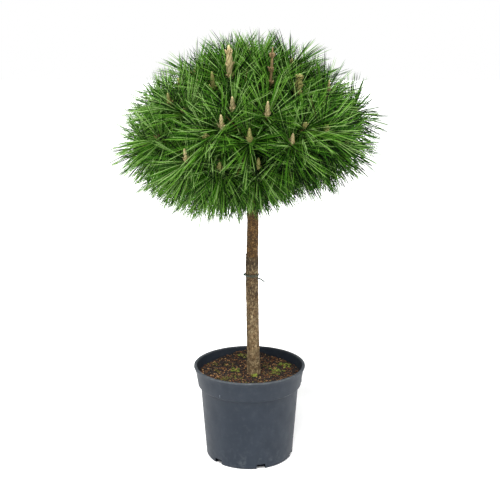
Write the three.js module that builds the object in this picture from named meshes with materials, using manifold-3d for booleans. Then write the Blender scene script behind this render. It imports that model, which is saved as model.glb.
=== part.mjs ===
// Dwarf pine grown as a standard: a round head of long needles on one clean stem, in a round nursery pot.
// Millimetres, +Z up. The origin is the centre of the pot's flat underside.
import * as THREE from "three";
import { mergeVertices } from "three/addons/utils/BufferGeometryUtils.js";
import Module from "manifold-3d";

const wasm = await Module();
wasm.setup();

const { Vector3 } = THREE;
const DEG = Math.PI / 180;

// ---- Driving dimensions ----
const GAP = 0.3; // air between two pieces that rest on each other

const POT = {
  height: 220,
  rimRadius: 130.8,
  lipHeight: 2.5,
  lipSlope: 12, // height of the slope under the lip
  lipBevel: 0.8,
  collarTopRadius: 126.3,
  collarFootRadius: 121.5,
  collarDrop: 45.5, // from the rim down to the collar's lower edge
  stepDrop: 5, // height of the slope under the collar
  bodyTopRadius: 115,
  footRadius: 102.5,
  footChamfer: 3,
  wall: 2,
  floor: 3,
  sides: 42,
};
const DRAIN = { count: 6, firstDeg: -15, width: 21, height: 12, depth: 13 };
const SOIL = { belowRim: 22, sides: 32, footClear: 14, sideClear: 1 };

const GROUND = POT.height - SOIL.belowRim;
const STEM = {
  top: 655,
  // The stem's line: how far it stands to +X of the pot's axis at shares of its height.
  line: [
    { share: 0, offset: 10 },
    { share: 0.3, offset: 7.1 },
    { share: 0.55, offset: 5.6 },
    { share: 0.8, offset: 7.5 },
    { share: 1, offset: 6 },
  ],
  footRadius: 14.3,
  flare: 2.6,
  flareHeight: 22,
  graftHeight: 479,
  graftSwell: 1.1,
  upperRadius: 13.5,
  tipRadius: 12.6,
  sides: 12,
  rings: 20,
};
const TIE = {
  height: 437,
  wire: 1.7,
  wireSides: 6,
  rings: 18,
  tail: 17,
  tailRadius: 1,
  tailDrop: 35 * DEG,
  knot: { length: 6, width: 4.2, height: 4.8 },
};

const CROWN = {
  centreHeight: 788,
  radius: 215, // of the plain oval through the shoot tips
  halfHeight: 127,
  shoulder: 0.15, // share by which the head falls short of that oval at its shoulder
  shoulderPolar: 46 * DEG,
  shoulderWidth: 22 * DEG,
  crest: 0.06, // and at its very top
  crestWidth: 14 * DEG,
  belly: 0.16, // share by which it reaches past the oval low down
  bellyFrom: 60 * DEG,
  bellyFull: 108 * DEG,
  fringeShift: 0.13, // share by which its lowest fringe reaches further to -X than to +X
  fringeFrom: 98 * DEG,
  fringeFull: 135 * DEG,
  notch: 0.11, // share by which it is shorter still at its lower right
  notchFrom: 108 * DEG,
  notchFull: 126 * DEG,
  notchTurn: -34 * DEG, // azimuth where that is deepest
  lowestPolar: 152 * DEG, // shoots stop short of the stem
  shoots: 68,
  seed: 21,
  polarStray: 0.06, // radians that a shoot strays up or down from its even place
  azimuthStray: 0.12, // and round the head
  sink: 0.06, // share of the radius by which the deepest one lies inside the shell
  lean: 0.62, // a shoot leans from the vertical by this share of its polar angle
  budLean: 0.4, // its bud turns up more steeply
};

// Masses of foliage: rings round the head, each mass round its own hub on its own bough.
const MASS_RINGS = [
  { name: "lower", count: 7, hubRadius: 134, hubHeight: 706, turn: 10, boughHeight: 596 },
  { name: "upper", count: 6, hubRadius: 124, hubHeight: 808, turn: 33, boughHeight: 618 },
  { name: "top", count: 1, hubRadius: 0, hubHeight: 862, turn: 0, boughHeight: STEM.top },
];
const BOUGH = {
  rootRadius: 4.2,
  tipRadius: 3.2,
  share: 0.56, // of the way from the stem to the hub
  topShare: 0.3, // the same for the middle one that goes straight up
  sag: 0.16, // share of its length that it hangs at its middle
  stagger: 9, // every other bough leaves this much higher
  sides: 5,
  rings: 3,
};
const MASS_STEM = { radius: 3.2, sides: 5, rings: 2 };
const HUB_RADIUS = 10; // the burr where a mass's stem parts into twigs
const TWIG = {
  rootRadius: 2.6,
  tipRadius: 2,
  rings: 2,
  bendReach: 0.3, // share of its span that it bends back along the shoot's axis
  bendShare: 0.25, // and share that the bend is drawn to the hub
};
const CORE = {
  radius: 3.6,
  length: 38,
  bud: 26,
  sides: 4,
  bands: 8,
  margin: 1, // room it keeps to its cell's walls
};
const NEEDLE = {
  length: 92,
  spread: 0.14, // share by which lengths differ
  rearAngle: 104 * DEG, // from the shoot's axis, at the rear of the core
  frontAngle: 26 * DEG, // and at its front
  droop: 0.1, // share of its length that a level needle's tip sinks
  rootRadius: 2.5,
  tipRadius: 0.2,
  stray: 0.2, // radians, the range of its bearing round the core, and half of it along the core
  tries: 8,
  shortest: 0.45, // a needle cut shorter than this share is left out
  rootShare: 0.12, // of its length, where it may touch its neighbours on the core
};

// ---- Solids ----

/** A three.js geometry as a closed manifold-3d solid. */
function solidOf(geometry) {
  const bare = geometry.index ? geometry.toNonIndexed() : geometry.clone();
  for (const name of Object.keys(bare.attributes)) {
    if (name !== "position") bare.deleteAttribute(name);
  }
  const merged = mergeVertices(bare, 1e-4);
  const kept = [];
  const index = merged.index.array;
  for (let i = 0; i < index.length; i += 3) {
    const [a, b, c] = [index[i], index[i + 1], index[i + 2]];
    if (a !== b && b !== c && c !== a) kept.push(a, b, c);
  }
  return new wasm.Manifold(
    new wasm.Mesh({
      numProp: 3,
      vertProperties: merged.attributes.position.array,
      triVerts: new Uint32Array(kept),
    }),
  );
}

/** A manifold-3d solid as a three.js geometry. */
function geometryOf(solid) {
  const mesh = solid.getMesh();
  const geometry = new THREE.BufferGeometry();
  geometry.setAttribute("position", new THREE.BufferAttribute(mesh.vertProperties, 3));
  geometry.setIndex(new THREE.BufferAttribute(mesh.triVerts, 1));
  geometry.computeVertexNormals();
  return geometry;
}

/** The largest body of a fused solid, without the loose scraps or sealed hollows of its fusing. */
function largestBody(solid) {
  return solid.decompose().reduce((best, body) => (body.volume() > best.volume() ? body : best));
}

/** A solid of revolution about +Z from [radius, height] pairs that start and end on the axis. */
function turned(profile, sides) {
  const points = profile.map(([radius, height]) => new THREE.Vector2(radius, height));
  return new THREE.LatheGeometry(points, sides).rotateX(Math.PI / 2);
}

/** A closed round limb along a curve: a cylinder whose rings are moved onto the curve's frames. */
function limb(curve, radiusAt, sides, rings) {
  const geometry = new THREE.CylinderGeometry(1, 1, 1, sides, rings);
  const frames = curve.computeFrenetFrames(rings);
  const place = geometry.getAttribute("position");
  for (let i = 0; i < place.count; i += 1) {
    const share = place.getY(i) + 0.5;
    const ring = Math.round(share * rings);
    const radius = radiusAt(share);
    const point = curve
      .getPointAt(ring / rings)
      .addScaledVector(frames.normals[ring], place.getX(i) * radius)
      .addScaledVector(frames.binormals[ring], -place.getZ(i) * radius);
    place.setXYZ(i, point.x, point.y, point.z);
  }
  return geometry;
}

/** The same series of numbers from 0 to 1 every time, from one seed. */
function seededRandom(seed) {
  let state = seed;
  return () => {
    state = (Math.imul(state, 1664525) + 1013904223) >>> 0;
    return state / 4294967296;
  };
}

const lerp = THREE.MathUtils.lerp;

/** A unit vector at an angle from the vertical, turned to an azimuth. */
function leaning(fromVertical, azimuth) {
  const level = Math.sin(fromVertical);
  return new Vector3(
    level * Math.cos(azimuth),
    level * Math.sin(azimuth),
    Math.cos(fromVertical),
  );
}

// ---- Pot and soil ----

function bodyRadiusAt(height) {
  const bodyTop = POT.height - POT.collarDrop - POT.stepDrop;
  return lerp(POT.footRadius, POT.bodyTopRadius, height / bodyTop);
}

/** The thin wall with its lip, collar and step, and drain slots through the foot. */
function potGeometry() {
  const collarFoot = POT.height - POT.collarDrop;
  const bodyTop = collarFoot - POT.stepDrop;
  const lipFoot = POT.height - POT.lipHeight;
  const outside = [
    [0, 0],
    [POT.footRadius - POT.footChamfer, 0],
    [bodyRadiusAt(POT.footChamfer), POT.footChamfer],
    [POT.bodyTopRadius, bodyTop],
    [POT.collarFootRadius, collarFoot],
    [POT.collarTopRadius, lipFoot - POT.lipSlope],
    [POT.rimRadius, lipFoot],
    [POT.rimRadius, POT.height - POT.lipBevel],
    [POT.rimRadius - POT.lipBevel, POT.height],
  ];
  const inside = [
    [POT.collarTopRadius - POT.wall, POT.height],
    [POT.collarFootRadius - POT.wall, collarFoot],
    [POT.bodyTopRadius - POT.wall, bodyTop],
    [bodyRadiusAt(POT.floor) - POT.wall, POT.floor],
    [0, POT.floor],
  ];
  let pot = solidOf(turned([...outside, ...inside], POT.sides));
  for (let i = 0; i < DRAIN.count; i += 1) {
    const slot = new THREE.BoxGeometry(DRAIN.depth * 2, DRAIN.width, DRAIN.height * 2);
    slot.translate(POT.footRadius, 0, 0);
    slot.rotateZ(DRAIN.firstDeg * DEG + (i * 2 * Math.PI) / DRAIN.count);
    pot = pot.subtract(solidOf(slot));
  }
  return geometryOf(pot);
}

/** The root ball that fills the pot to just under the rim. Its foot is drawn in over the drain slots. */
function soilGeometry() {
  const collarFoot = POT.height - POT.collarDrop;
  const bodyTop = collarFoot - POT.stepDrop;
  const clear = POT.wall + SOIL.sideClear;
  const foot = POT.floor + GAP;
  const shoulder = DRAIN.height + SOIL.footClear;
  const collarShare = (GROUND - collarFoot) / POT.collarDrop;
  const topRadius = lerp(POT.collarFootRadius, POT.collarTopRadius, collarShare);
  return turned(
    [
      [0, foot],
      [POT.footRadius - DRAIN.depth - clear, foot],
      [bodyRadiusAt(shoulder) - clear, shoulder],
      [POT.bodyTopRadius - clear, bodyTop],
      [POT.collarFootRadius - clear, collarFoot],
      [topRadius - clear, GROUND],
      [0, GROUND],
    ],
    SOIL.sides,
  );
}

// ---- Stem ----

const STEM_FOOT = GROUND + GAP;
const stemCurve = new THREE.CatmullRomCurve3(
  STEM.line.map(({ share, offset }) => new Vector3(offset, 0, lerp(STEM_FOOT, STEM.top, share))),
);

/** The stem's radius: root flare, slow taper, a swelling at the graft and a slimmer upper part. */
function stemRadiusAt(share) {
  const height = lerp(GROUND, STEM.top, share);
  const aboveGround = height - GROUND;
  const flare = STEM.flare * Math.exp(-aboveGround / STEM.flareHeight);
  const graftShare = (STEM.graftHeight - GROUND) / (STEM.top - GROUND);
  if (share < graftShare) {
    const taper = lerp(STEM.footRadius, STEM.upperRadius + STEM.graftSwell, share / graftShare);
    return taper + flare;
  }
  return lerp(STEM.upperRadius, STEM.tipRadius, (share - graftShare) / (1 - graftShare));
}

/** The stem, grown all round by a little where another piece is cut to clear it, with a level foot. */
function stemGeometry(extra = 0) {
  const radiusAt = (share) => stemRadiusAt(share) + extra;
  const geometry = limb(stemCurve, radiusAt, STEM.sides, STEM.rings);
  const place = geometry.getAttribute("position");
  const tilt = 2; // the foot's ring leans by less than this
  for (let i = 0; i < place.count; i += 1) {
    if (place.getZ(i) < STEM_FOOT + tilt) place.setZ(i, STEM_FOOT);
  }
  return geometry;
}

/** A plant tie round the stem: a ring, the lump of its knot and one cut-off tail. */
function tieGeometry() {
  const share = (TIE.height - GROUND) / (STEM.top - GROUND);
  const centre = stemCurve.getPointAt(share);
  const ringRadius = stemRadiusAt(share) + GAP + TIE.wire;
  const ring = new THREE.TorusGeometry(ringRadius, TIE.wire, TIE.wireSides, TIE.rings);
  const knot = new THREE.BoxGeometry(TIE.knot.length, TIE.knot.width, TIE.knot.height).translate(
    TIE.wire / 2 - ringRadius - TIE.knot.length / 2,
    0,
    0,
  );
  const tail = new THREE.CylinderGeometry(TIE.tailRadius, TIE.tailRadius, TIE.tail, TIE.wireSides)
    .rotateZ(Math.PI / 2)
    .translate(TIE.tail / 2, 0, 0)
    .rotateY(TIE.tailDrop)
    .translate(ringRadius, 0, 0);
  const tie = wasm.Manifold.union([ring, knot, tail].map(solidOf));
  return geometryOf(tie).translate(centre.x, centre.y, centre.z);
}

// ---- Masses, boughs and cells ----

/** One record for each mass: its name, hub, bough curve and the line of its own stem. */
function layOutMasses() {
  const masses = [];
  for (const ring of MASS_RINGS) {
    for (let i = 0; i < ring.count; i += 1) {
      const azimuth = (ring.turn + (360 * i) / ring.count) * DEG;
      const outward = new Vector3(Math.cos(azimuth), Math.sin(azimuth), 0);
      const hub = outward.clone().multiplyScalar(ring.hubRadius).setZ(ring.hubHeight);
      const rootHeight = ring.boughHeight + (i % 2 ? BOUGH.stagger : 0);
      const stemShare = (rootHeight - GROUND) / (STEM.top - GROUND);
      const root = stemCurve.getPointAt(Math.min(stemShare, 1));
      const upright = ring.count === 1;
      const tip = root.clone().lerp(hub, upright ? BOUGH.topShare : BOUGH.share);
      const middle = root.clone().lerp(tip, 0.5);
      if (!upright) middle.z -= BOUGH.sag * root.distanceTo(tip);
      const curve = new THREE.QuadraticBezierCurve3(root, middle, tip);
      const heading = curve.getTangentAt(1);
      const name = upright ? ring.name : `${ring.name}_${i + 1}`;
      const stemStart = tip.clone().addScaledVector(heading, GAP);
      masses.push({ name, hub, curve, stemStart, heading });
    }
  }
  return masses;
}

const masses = layOutMasses();

/** How far inside its own cell a point lies: the distance to the nearest wall between two hubs. */
function depthInCell(point, mass) {
  let depth = Infinity;
  for (const other of masses) {
    if (other === mass) continue;
    const across = other.hub.clone().sub(mass.hub);
    const middle = mass.hub.clone().lerp(other.hub, 0.5);
    depth = Math.min(depth, middle.sub(point).dot(across.normalize()));
  }
  return depth;
}

function nearestMass(point) {
  return masses.reduce((best, mass) =>
    mass.hub.distanceToSquared(point) < best.hub.distanceToSquared(point) ? mass : best,
  );
}

/** Moves a point by short steps towards its hub until it lies at least this deep in its cell. */
function drawnIn(point, mass, clearance) {
  const mostSteps = 12;
  const stepShare = 0.06;
  const placed = point.clone();
  for (let i = 0; i < mostSteps && depthInCell(placed, mass) < clearance; i += 1) {
    placed.lerp(mass.hub, stepShare);
  }
  return placed;
}

// ---- Room for needles ----

/** The points where two straight stretches come nearest, as shares along each, and their distance. */
function nearestApproach(a, b) {
  const u = a.to.clone().sub(a.from);
  const v = b.to.clone().sub(b.from);
  const w = a.from.clone().sub(b.from);
  const [uu, uv, vv, uw, vw] = [u.dot(u), u.dot(v), v.dot(v), u.dot(w), v.dot(w)];
  const area = uu * vv - uv * uv;
  let onA = area > 1e-9 ? THREE.MathUtils.clamp((uv * vw - vv * uw) / area, 0, 1) : 0;
  const onB = THREE.MathUtils.clamp((uv * onA + vw) / vv, 0, 1);
  onA = THREE.MathUtils.clamp((uv * onB - uw) / uu, 0, 1);
  const distance = w.addScaledVector(u, onA).addScaledVector(v, -onB).length();
  return { onA, onB, distance };
}

/** True if two tapering stretches keep a gap between their surfaces. */
function standClear(a, b) {
  const { onA, onB, distance } = nearestApproach(a, b);
  const radii = lerp(a.startRadius, a.endRadius, onA) + lerp(b.startRadius, b.endRadius, onB);
  return distance > radii + GAP;
}

/** A curve as short straight stretches with its radii at their ends. */
function stretches(curve, radiusAt, count) {
  return Array.from({ length: count }, (_, i) => ({
    from: curve.getPointAt(i / count),
    to: curve.getPointAt((i + 1) / count),
    startRadius: radiusAt(i / count),
    endRadius: radiusAt((i + 1) / count),
  }));
}

const boughRadiusAt = (share) => lerp(BOUGH.rootRadius, BOUGH.tipRadius, share);
const limbLines = [
  ...stretches(stemCurve, stemRadiusAt, STEM.rings),
  ...masses.flatMap(({ curve }) => stretches(curve, boughRadiusAt, BOUGH.rings)),
];

/** The share of a needle, from its root, that stays inside its mass's cell. */
function shareInCell(needle, mass) {
  const steps = 12;
  for (let i = 1; i <= steps; i += 1) {
    const point = needle.from.clone().lerp(needle.to, i / steps);
    const radius = lerp(needle.startRadius, needle.endRadius, i / steps);
    if (depthInCell(point, mass) < radius + GAP) return (i - 1) / steps;
  }
  return 1;
}

// ---- Shoots ----

/** Polar angles that share the shell's area evenly between the shoots, from the top down. */
function evenPolarAngles() {
  const steps = 400;
  const areas = [0];
  for (let i = 1; i <= steps; i += 1) {
    const polar = (CROWN.lowestPolar * (i - 0.5)) / steps;
    const slope = Math.hypot(
      CROWN.radius * Math.cos(polar),
      CROWN.halfHeight * Math.sin(polar),
    );
    areas.push(areas[i - 1] + Math.sin(polar) * slope);
  }
  return Array.from({ length: CROWN.shoots }, (_, k) => {
    const wanted = (areas[steps] * (k + 0.5)) / CROWN.shoots;
    const above = areas.findIndex((area) => area >= wanted);
    return (CROWN.lowestPolar * above) / steps;
  });
}

/** How far the head reaches in one direction, as a share of its plain oval. */
function headReach(polar, azimuth) {
  const { smoothstep } = THREE.MathUtils;
  const offShoulder = (polar - CROWN.shoulderPolar) / CROWN.shoulderWidth;
  const offTop = polar / CROWN.crestWidth;
  const neck = CROWN.shoulder * Math.exp(-offShoulder * offShoulder);
  const crest = CROWN.crest * Math.exp(-offTop * offTop);
  const low = CROWN.belly * smoothstep(polar, CROWN.bellyFrom, CROWN.bellyFull);
  const fringe = CROWN.fringeShift * smoothstep(polar, CROWN.fringeFrom, CROWN.fringeFull);
  const notch = CROWN.notch * smoothstep(polar, CROWN.notchFrom, CROWN.notchFull);
  const facing = (1 + Math.cos(azimuth - CROWN.notchTurn)) / 2;
  return 1 - neck - crest + low - fringe * Math.cos(azimuth) - notch * facing;
}

/** Every shoot of the head, set out by the golden angle: its place, lean and mass. */
function layOutShoots() {
  const random = seededRandom(CROWN.seed);
  const golden = Math.PI * (3 - Math.sqrt(5));
  return evenPolarAngles().map((evenPolar, k) => {
    const polar = evenPolar + (2 * random() - 1) * CROWN.polarStray;
    const azimuth = k * golden + (2 * random() - 1) * CROWN.azimuthStray;
    const depth = (1 - CROWN.sink * random()) * headReach(polar, azimuth);
    const place = leaning(polar, azimuth).multiply(
      new Vector3(CROWN.radius, CROWN.radius, CROWN.halfHeight).multiplyScalar(depth),
    );
    place.z += CROWN.centreHeight;
    const axis = leaning(CROWN.lean * polar, azimuth);
    const budAxis = leaning(CROWN.budLean * polar, azimuth);
    const mass = nearestMass(place);
    const clearance = CORE.radius + CORE.margin;
    const base = drawnIn(place.addScaledVector(axis, -CORE.length), mass, clearance);
    return { mass, base, axis, budAxis, seed: CROWN.seed + k + 1 };
  });
}

const twigRadiusAt = (share) => lerp(TWIG.rootRadius, TWIG.tipRadius, share);

/** The line of the twig that carries a shoot, from its mass's hub to the foot of its core. */
function twigCurve(shoot) {
  const { hub } = shoot.mass;
  const reach = hub.distanceTo(shoot.base);
  const bend = shoot.base
    .clone()
    .addScaledVector(shoot.axis, -TWIG.bendReach * reach)
    .lerp(hub, TWIG.bendShare);
  return new THREE.QuadraticBezierCurve3(hub, bend, shoot.base);
}

/** A core's girth along it, as a share of its radius: fullest at its middle. */
const coreBulgeAt = (share) => Math.sin(Math.PI * lerp(0.2, 0.8, share));

/** The rings of a shoot, from the hub along its twig to the front of its core. */
function shootRings(shoot) {
  const twig = twigCurve(shoot);
  const acrossPlane = shoot.base.clone().sub(shoot.mass.hub).cross(shoot.axis).normalize();
  const ringAt = (centre, heading, radius) => {
    const inPlane = new Vector3().crossVectors(acrossPlane, heading);
    const offset = (x, z) =>
      new Vector3().addScaledVector(acrossPlane, x).addScaledVector(inPlane, z);
    return { centre, offset, radius };
  };
  const rings = [];
  for (let i = 0; i < TWIG.rings; i += 1) {
    const share = i / TWIG.rings;
    rings.push(ringAt(twig.getPoint(share), twig.getTangent(share), twigRadiusAt(share)));
  }
  for (let band = 0; band <= CORE.bands; band += 1) {
    const share = band / CORE.bands;
    const centre = shoot.base.clone().addScaledVector(shoot.axis, CORE.length * share);
    rings.push(ringAt(centre, shoot.axis, CORE.radius * coreBulgeAt(share)));
  }
  return rings;
}

/** One try at the needle on a face of a core: a stretch that stays in the cell, or null. */
function triedNeedle(shoot, from, outward, share, random) {
  const stray = () => (random() - 0.5) * NEEDLE.stray;
  const fromAxis = lerp(NEEDLE.rearAngle, NEEDLE.frontAngle, share) + stray() / 2;
  const length = NEEDLE.length * (1 + (random() - 0.5) * NEEDLE.spread);
  const run = outward
    .clone()
    .applyAxisAngle(shoot.axis, stray())
    .multiplyScalar(Math.sin(fromAxis) * length)
    .addScaledVector(shoot.axis, Math.cos(fromAxis) * length);
  run.z -= NEEDLE.droop * Math.hypot(run.x, run.y);
  const needle = {
    from,
    to: from.clone().add(run),
    startRadius: NEEDLE.rootRadius,
    endRadius: NEEDLE.tipRadius,
  };
  const inside = shareInCell(needle, shoot.mass);
  if (inside < NEEDLE.shortest) return null;
  needle.to.lerpVectors(from, needle.to, inside);
  return needle;
}

/** The part of a needle beyond its root, where it has to clear its own neighbours too. */
function beyondRoot(needle) {
  return {
    from: needle.from.clone().lerp(needle.to, NEEDLE.rootShare),
    to: needle.to,
    startRadius: lerp(needle.startRadius, needle.endRadius, NEEDLE.rootShare),
    endRadius: needle.endRadius,
  };
}

/** The needle on one face, clear of other shoots and of its own neighbours, or null if none fits. */
function clearNeedle(tried, others, neighbours) {
  for (let i = 0; i < NEEDLE.tries; i += 1) {
    const needle = tried();
    if (
      needle &&
      others.every((line) => standClear(needle, line)) &&
      neighbours.every((line) => standClear(beyondRoot(needle), beyondRoot(line)))
    ) {
      return needle;
    }
  }
  return null;
}

/**
 * A shoot on its twig as one closed solid: a slim core with a needle raised on each of its faces
 * that has room for one, and a bud that turns up at the front. Returns the solid and its needles.
 */
function growShoot(shoot, others) {
  const random = seededRandom(shoot.seed);
  const rings = shootRings(shoot);
  const last = rings.length - 1;
  const bud = rings[last].centre.clone().addScaledVector(shoot.budAxis, CORE.bud);
  const tube = new THREE.CylinderGeometry(1, 1, 1, CORE.sides, last).toNonIndexed();
  const place = tube.getAttribute("position");
  const needles = [];
  const corners = [];
  for (let i = 0; i < place.count; i += 3) {
    const spots = [i, i + 1, i + 2].map((k) => {
      const ring = Math.round((place.getY(k) + 0.5) * last);
      const [x, z] = [place.getX(k), place.getZ(k)];
      const { centre, offset, radius } = rings[ring];
      const onAxis = Math.hypot(x, z) < 0.5;
      if (onAxis) return { ring, onAxis, point: ring === last ? bud : centre };
      return { ring, onAxis, point: offset(x, z).multiplyScalar(radius).add(centre) };
    });
    const [a, b, c] = spots.map(({ point }) => point);
    const onCore = spots.every(({ ring, onAxis }) => ring >= TWIG.rings && !onAxis);
    const middle = a.clone().add(b).add(c).divideScalar(3);
    const along = middle.clone().sub(shoot.base).dot(shoot.axis);
    const axisPoint = shoot.base.clone().addScaledVector(shoot.axis, along);
    const outward = middle.clone().sub(axisPoint).normalize();
    const tried = () => triedNeedle(shoot, middle, outward, along / CORE.length, random);
    const needle = onCore ? clearNeedle(tried, others, needles) : null;
    if (needle) {
      corners.push(a, b, needle.to, b, c, needle.to, c, a, needle.to);
      needles.push(needle);
    } else {
      corners.push(a, b, c);
    }
  }
  return { solid: solidOf(new THREE.BufferGeometry().setFromPoints(corners)), needles };
}

/** A mass of foliage: its stem, the burr at its hub, and every shoot on its twig, in one solid. */
function massGeometry(mass, shoots) {
  const { hub, stemStart, heading } = mass;
  const middle = stemStart.clone().addScaledVector(heading, stemStart.distanceTo(hub) / 2);
  const stemLine = new THREE.QuadraticBezierCurve3(stemStart, middle, hub);
  const stemRadius = () => MASS_STEM.radius;
  const burr = new THREE.IcosahedronGeometry(HUB_RADIUS).translate(hub.x, hub.y, hub.z);
  const twigLines = shoots.map((shoot) => stretches(twigCurve(shoot), twigRadiusAt, 3));
  const behindCore = 2; // a shoot's needles keep clear of these first stretches of its own twig
  const coreLines = shoots.map(({ base, axis }) => ({
    from: base,
    to: base.clone().addScaledVector(axis, CORE.length + CORE.bud),
    startRadius: CORE.radius,
    endRadius: CORE.radius,
  }));
  const wood = [...limbLines, ...stretches(stemLine, stemRadius, MASS_STEM.rings)];
  const needles = [];
  const solids = shoots.map((shoot, own) => {
    const others = [...wood, ...needles, ...twigLines[own].slice(0, behindCore)];
    for (let i = 0; i < shoots.length; i += 1) {
      if (i !== own) others.push(coreLines[i], ...twigLines[i]);
    }
    const grown = growShoot(shoot, others);
    needles.push(...grown.needles);
    return grown.solid;
  });
  const stem = solidOf(limb(stemLine, stemRadius, MASS_STEM.sides, MASS_STEM.rings));
  return geometryOf(largestBody(wasm.Manifold.union([stem, solidOf(burr), ...solids])));
}

/** A bough from the stem's side to its mass, cut clear of the stem. */
function boughGeometry(mass, stemRoom) {
  return geometryOf(
    solidOf(limb(mass.curve, boughRadiusAt, BOUGH.sides, BOUGH.rings)).subtract(stemRoom),
  );
}

// ---- The whole plant ----

const MATERIALS = {
  pot: new THREE.MeshStandardMaterial({ color: 0x444b55, roughness: 0.6, metalness: 0 }),
  soil: new THREE.MeshStandardMaterial({ color: 0x49392a, roughness: 1, metalness: 0 }),
  bark: new THREE.MeshStandardMaterial({ color: 0x6d6049, roughness: 0.9, metalness: 0 }),
  twig: new THREE.MeshStandardMaterial({ color: 0x6a4d2c, roughness: 0.9, metalness: 0 }),
  needles: new THREE.MeshStandardMaterial({ color: 0x3f6a22, roughness: 0.55, metalness: 0 }),
  tie: new THREE.MeshStandardMaterial({ color: 0x3f6658, roughness: 0.5, metalness: 0 }),
};

const plant = new THREE.Group();

function addPiece(name, geometry, material) {
  const mesh = new THREE.Mesh(geometry, material);
  mesh.name = name;
  plant.add(mesh);
}

const shoots = layOutShoots();
const stemRoom = solidOf(stemGeometry(GAP)).add(
  solidOf(stemGeometry(GAP).translate(0, 0, GAP)),
);

addPiece("pot", potGeometry(), MATERIALS.pot);
addPiece("soil", soilGeometry(), MATERIALS.soil);
addPiece("stem", stemGeometry(), MATERIALS.bark);
addPiece("stem_tie", tieGeometry(), MATERIALS.tie);
for (const mass of masses) {
  const own = shoots.filter((shoot) => shoot.mass === mass);
  addPiece(`bough_${mass.name}`, boughGeometry(mass, stemRoom), MATERIALS.twig);
  addPiece(`foliage_${mass.name}`, massGeometry(mass, own), MATERIALS.needles);
}

export default plant;
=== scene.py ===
"""A dwarf pine grown as a standard, dressed for looks.

A round head of long needles with upright buds stands on one clear stem in a round nursery pot.
Named sizes are in millimetres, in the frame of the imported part. Every mesh is written in metres.
"""
import logging
import math
from collections.abc import Iterable, Sequence
from dataclasses import dataclass, field
from enum import Enum, IntEnum

import bmesh
import bpy
import numpy as np
from mathutils import Matrix, Quaternion, Vector, noise


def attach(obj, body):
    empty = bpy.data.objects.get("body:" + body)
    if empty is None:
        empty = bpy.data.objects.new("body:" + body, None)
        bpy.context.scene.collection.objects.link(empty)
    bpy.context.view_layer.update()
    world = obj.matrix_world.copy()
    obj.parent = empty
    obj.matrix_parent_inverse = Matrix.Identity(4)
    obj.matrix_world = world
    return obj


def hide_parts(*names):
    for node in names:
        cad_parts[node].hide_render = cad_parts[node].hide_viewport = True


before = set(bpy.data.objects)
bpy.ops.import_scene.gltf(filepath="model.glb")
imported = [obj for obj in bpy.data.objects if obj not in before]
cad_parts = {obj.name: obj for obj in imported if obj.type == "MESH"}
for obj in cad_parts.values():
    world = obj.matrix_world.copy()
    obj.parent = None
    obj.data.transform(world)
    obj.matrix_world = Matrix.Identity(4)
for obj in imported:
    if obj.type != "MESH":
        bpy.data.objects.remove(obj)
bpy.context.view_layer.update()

LOG = logging.getLogger("standard_pine")
MM = 0.001
GOLDEN_ANGLE = math.pi * (3 - math.sqrt(5))
Rgba = tuple[float, float, float, float]


# ---------------------------------------------------------------- small helpers


def lerp(start: float, end: float, share: float) -> float:
    """The value at a share of the way from start to end."""
    return start + (end - start) * share


def smooth(low: float, high: float, value: float) -> float:
    """A smooth step from 0 at low to 1 at high."""
    share = min(max((value - low) / (high - low), 0.0), 1.0)
    return share * share * (3 - 2 * share)


def smooth_array(low: float, high: float, values: np.ndarray) -> np.ndarray:
    """A smooth step from 0 at low to 1 at high, for each value."""
    share = np.clip((values - low) / (high - low), 0, 1)
    return share * share * (3 - 2 * share)


def srgb(red: int, green: int, blue: int) -> Rgba:
    """A display colour, 0 to 255 a channel, as the linear colour that shaders take.

    Args:
        red: The red channel.
        green: The green channel.
        blue: The blue channel.

    Returns:
        The colour with its alpha, each from 0 to 1.
    """

    def linear(channel: int) -> float:
        """One channel made linear."""
        value = channel / 255
        return value / 12.92 if value <= 0.04045 else ((value + 0.055) / 1.055) ** 2.4

    return (linear(red), linear(green), linear(blue), 1.0)


def leaning(from_vertical: float, azimuth: float) -> Vector:
    """A unit vector at an angle from the vertical, turned to an azimuth, both in radians."""
    level = math.sin(from_vertical)
    return Vector((level * math.cos(azimuth), level * math.sin(azimuth), math.cos(from_vertical)))


class SeededSeries:
    """The same series of numbers from 0 to 1 every time, from one seed."""

    def __init__(self, seed: int) -> None:
        """Starts the series.

        Args:
            seed: A whole number; another one gives another series.
        """
        self.state = seed

    def __call__(self) -> float:
        """The next number of the series."""
        self.state = (self.state * 1664525 + 1013904223) % 4294967296
        return self.state / 4294967296


# ---------------------------------------------------------------- shader building


class Socket:
    """An output socket of a shader node that takes part in Python expressions."""

    def __init__(self, graph: "Graph", out: bpy.types.NodeSocket) -> None:
        """Wraps one output socket of a graph's node."""
        self.graph = graph
        self.out = out

    def _maths(self, operation: str, first: "Socket | float", second: "Socket | float") -> "Socket":
        """A Math node on two values, of which at least one is a socket."""
        return self.graph.node("ShaderNodeMath", {"operation": operation}, {0: first, 1: second})

    def __add__(self, other: "Socket | float") -> "Socket":
        """self + other."""
        return self._maths("ADD", self, other)

    __radd__ = __add__

    def __sub__(self, other: "Socket | float") -> "Socket":
        """self - other."""
        return self._maths("SUBTRACT", self, other)

    def __rsub__(self, other: float) -> "Socket":
        """other - self."""
        return self._maths("SUBTRACT", other, self)

    def __mul__(self, other: "Socket | float") -> "Socket":
        """self * other."""
        return self._maths("MULTIPLY", self, other)

    __rmul__ = __mul__

    def steps(self, low: float, high: float) -> "Socket":
        """A smooth step from 0 at low to 1 at high."""
        settings = {"interpolation_type": "SMOOTHSTEP"}
        return self.graph.node("ShaderNodeMapRange", settings, {0: self, 1: low, 2: high})

    def band(self, start: float, full: float, fade: float, end: float) -> "Socket":
        """1 between full and fade, and 0 before start and after end."""
        return self.steps(start, full) * (1 - self.steps(fade, end))


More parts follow.
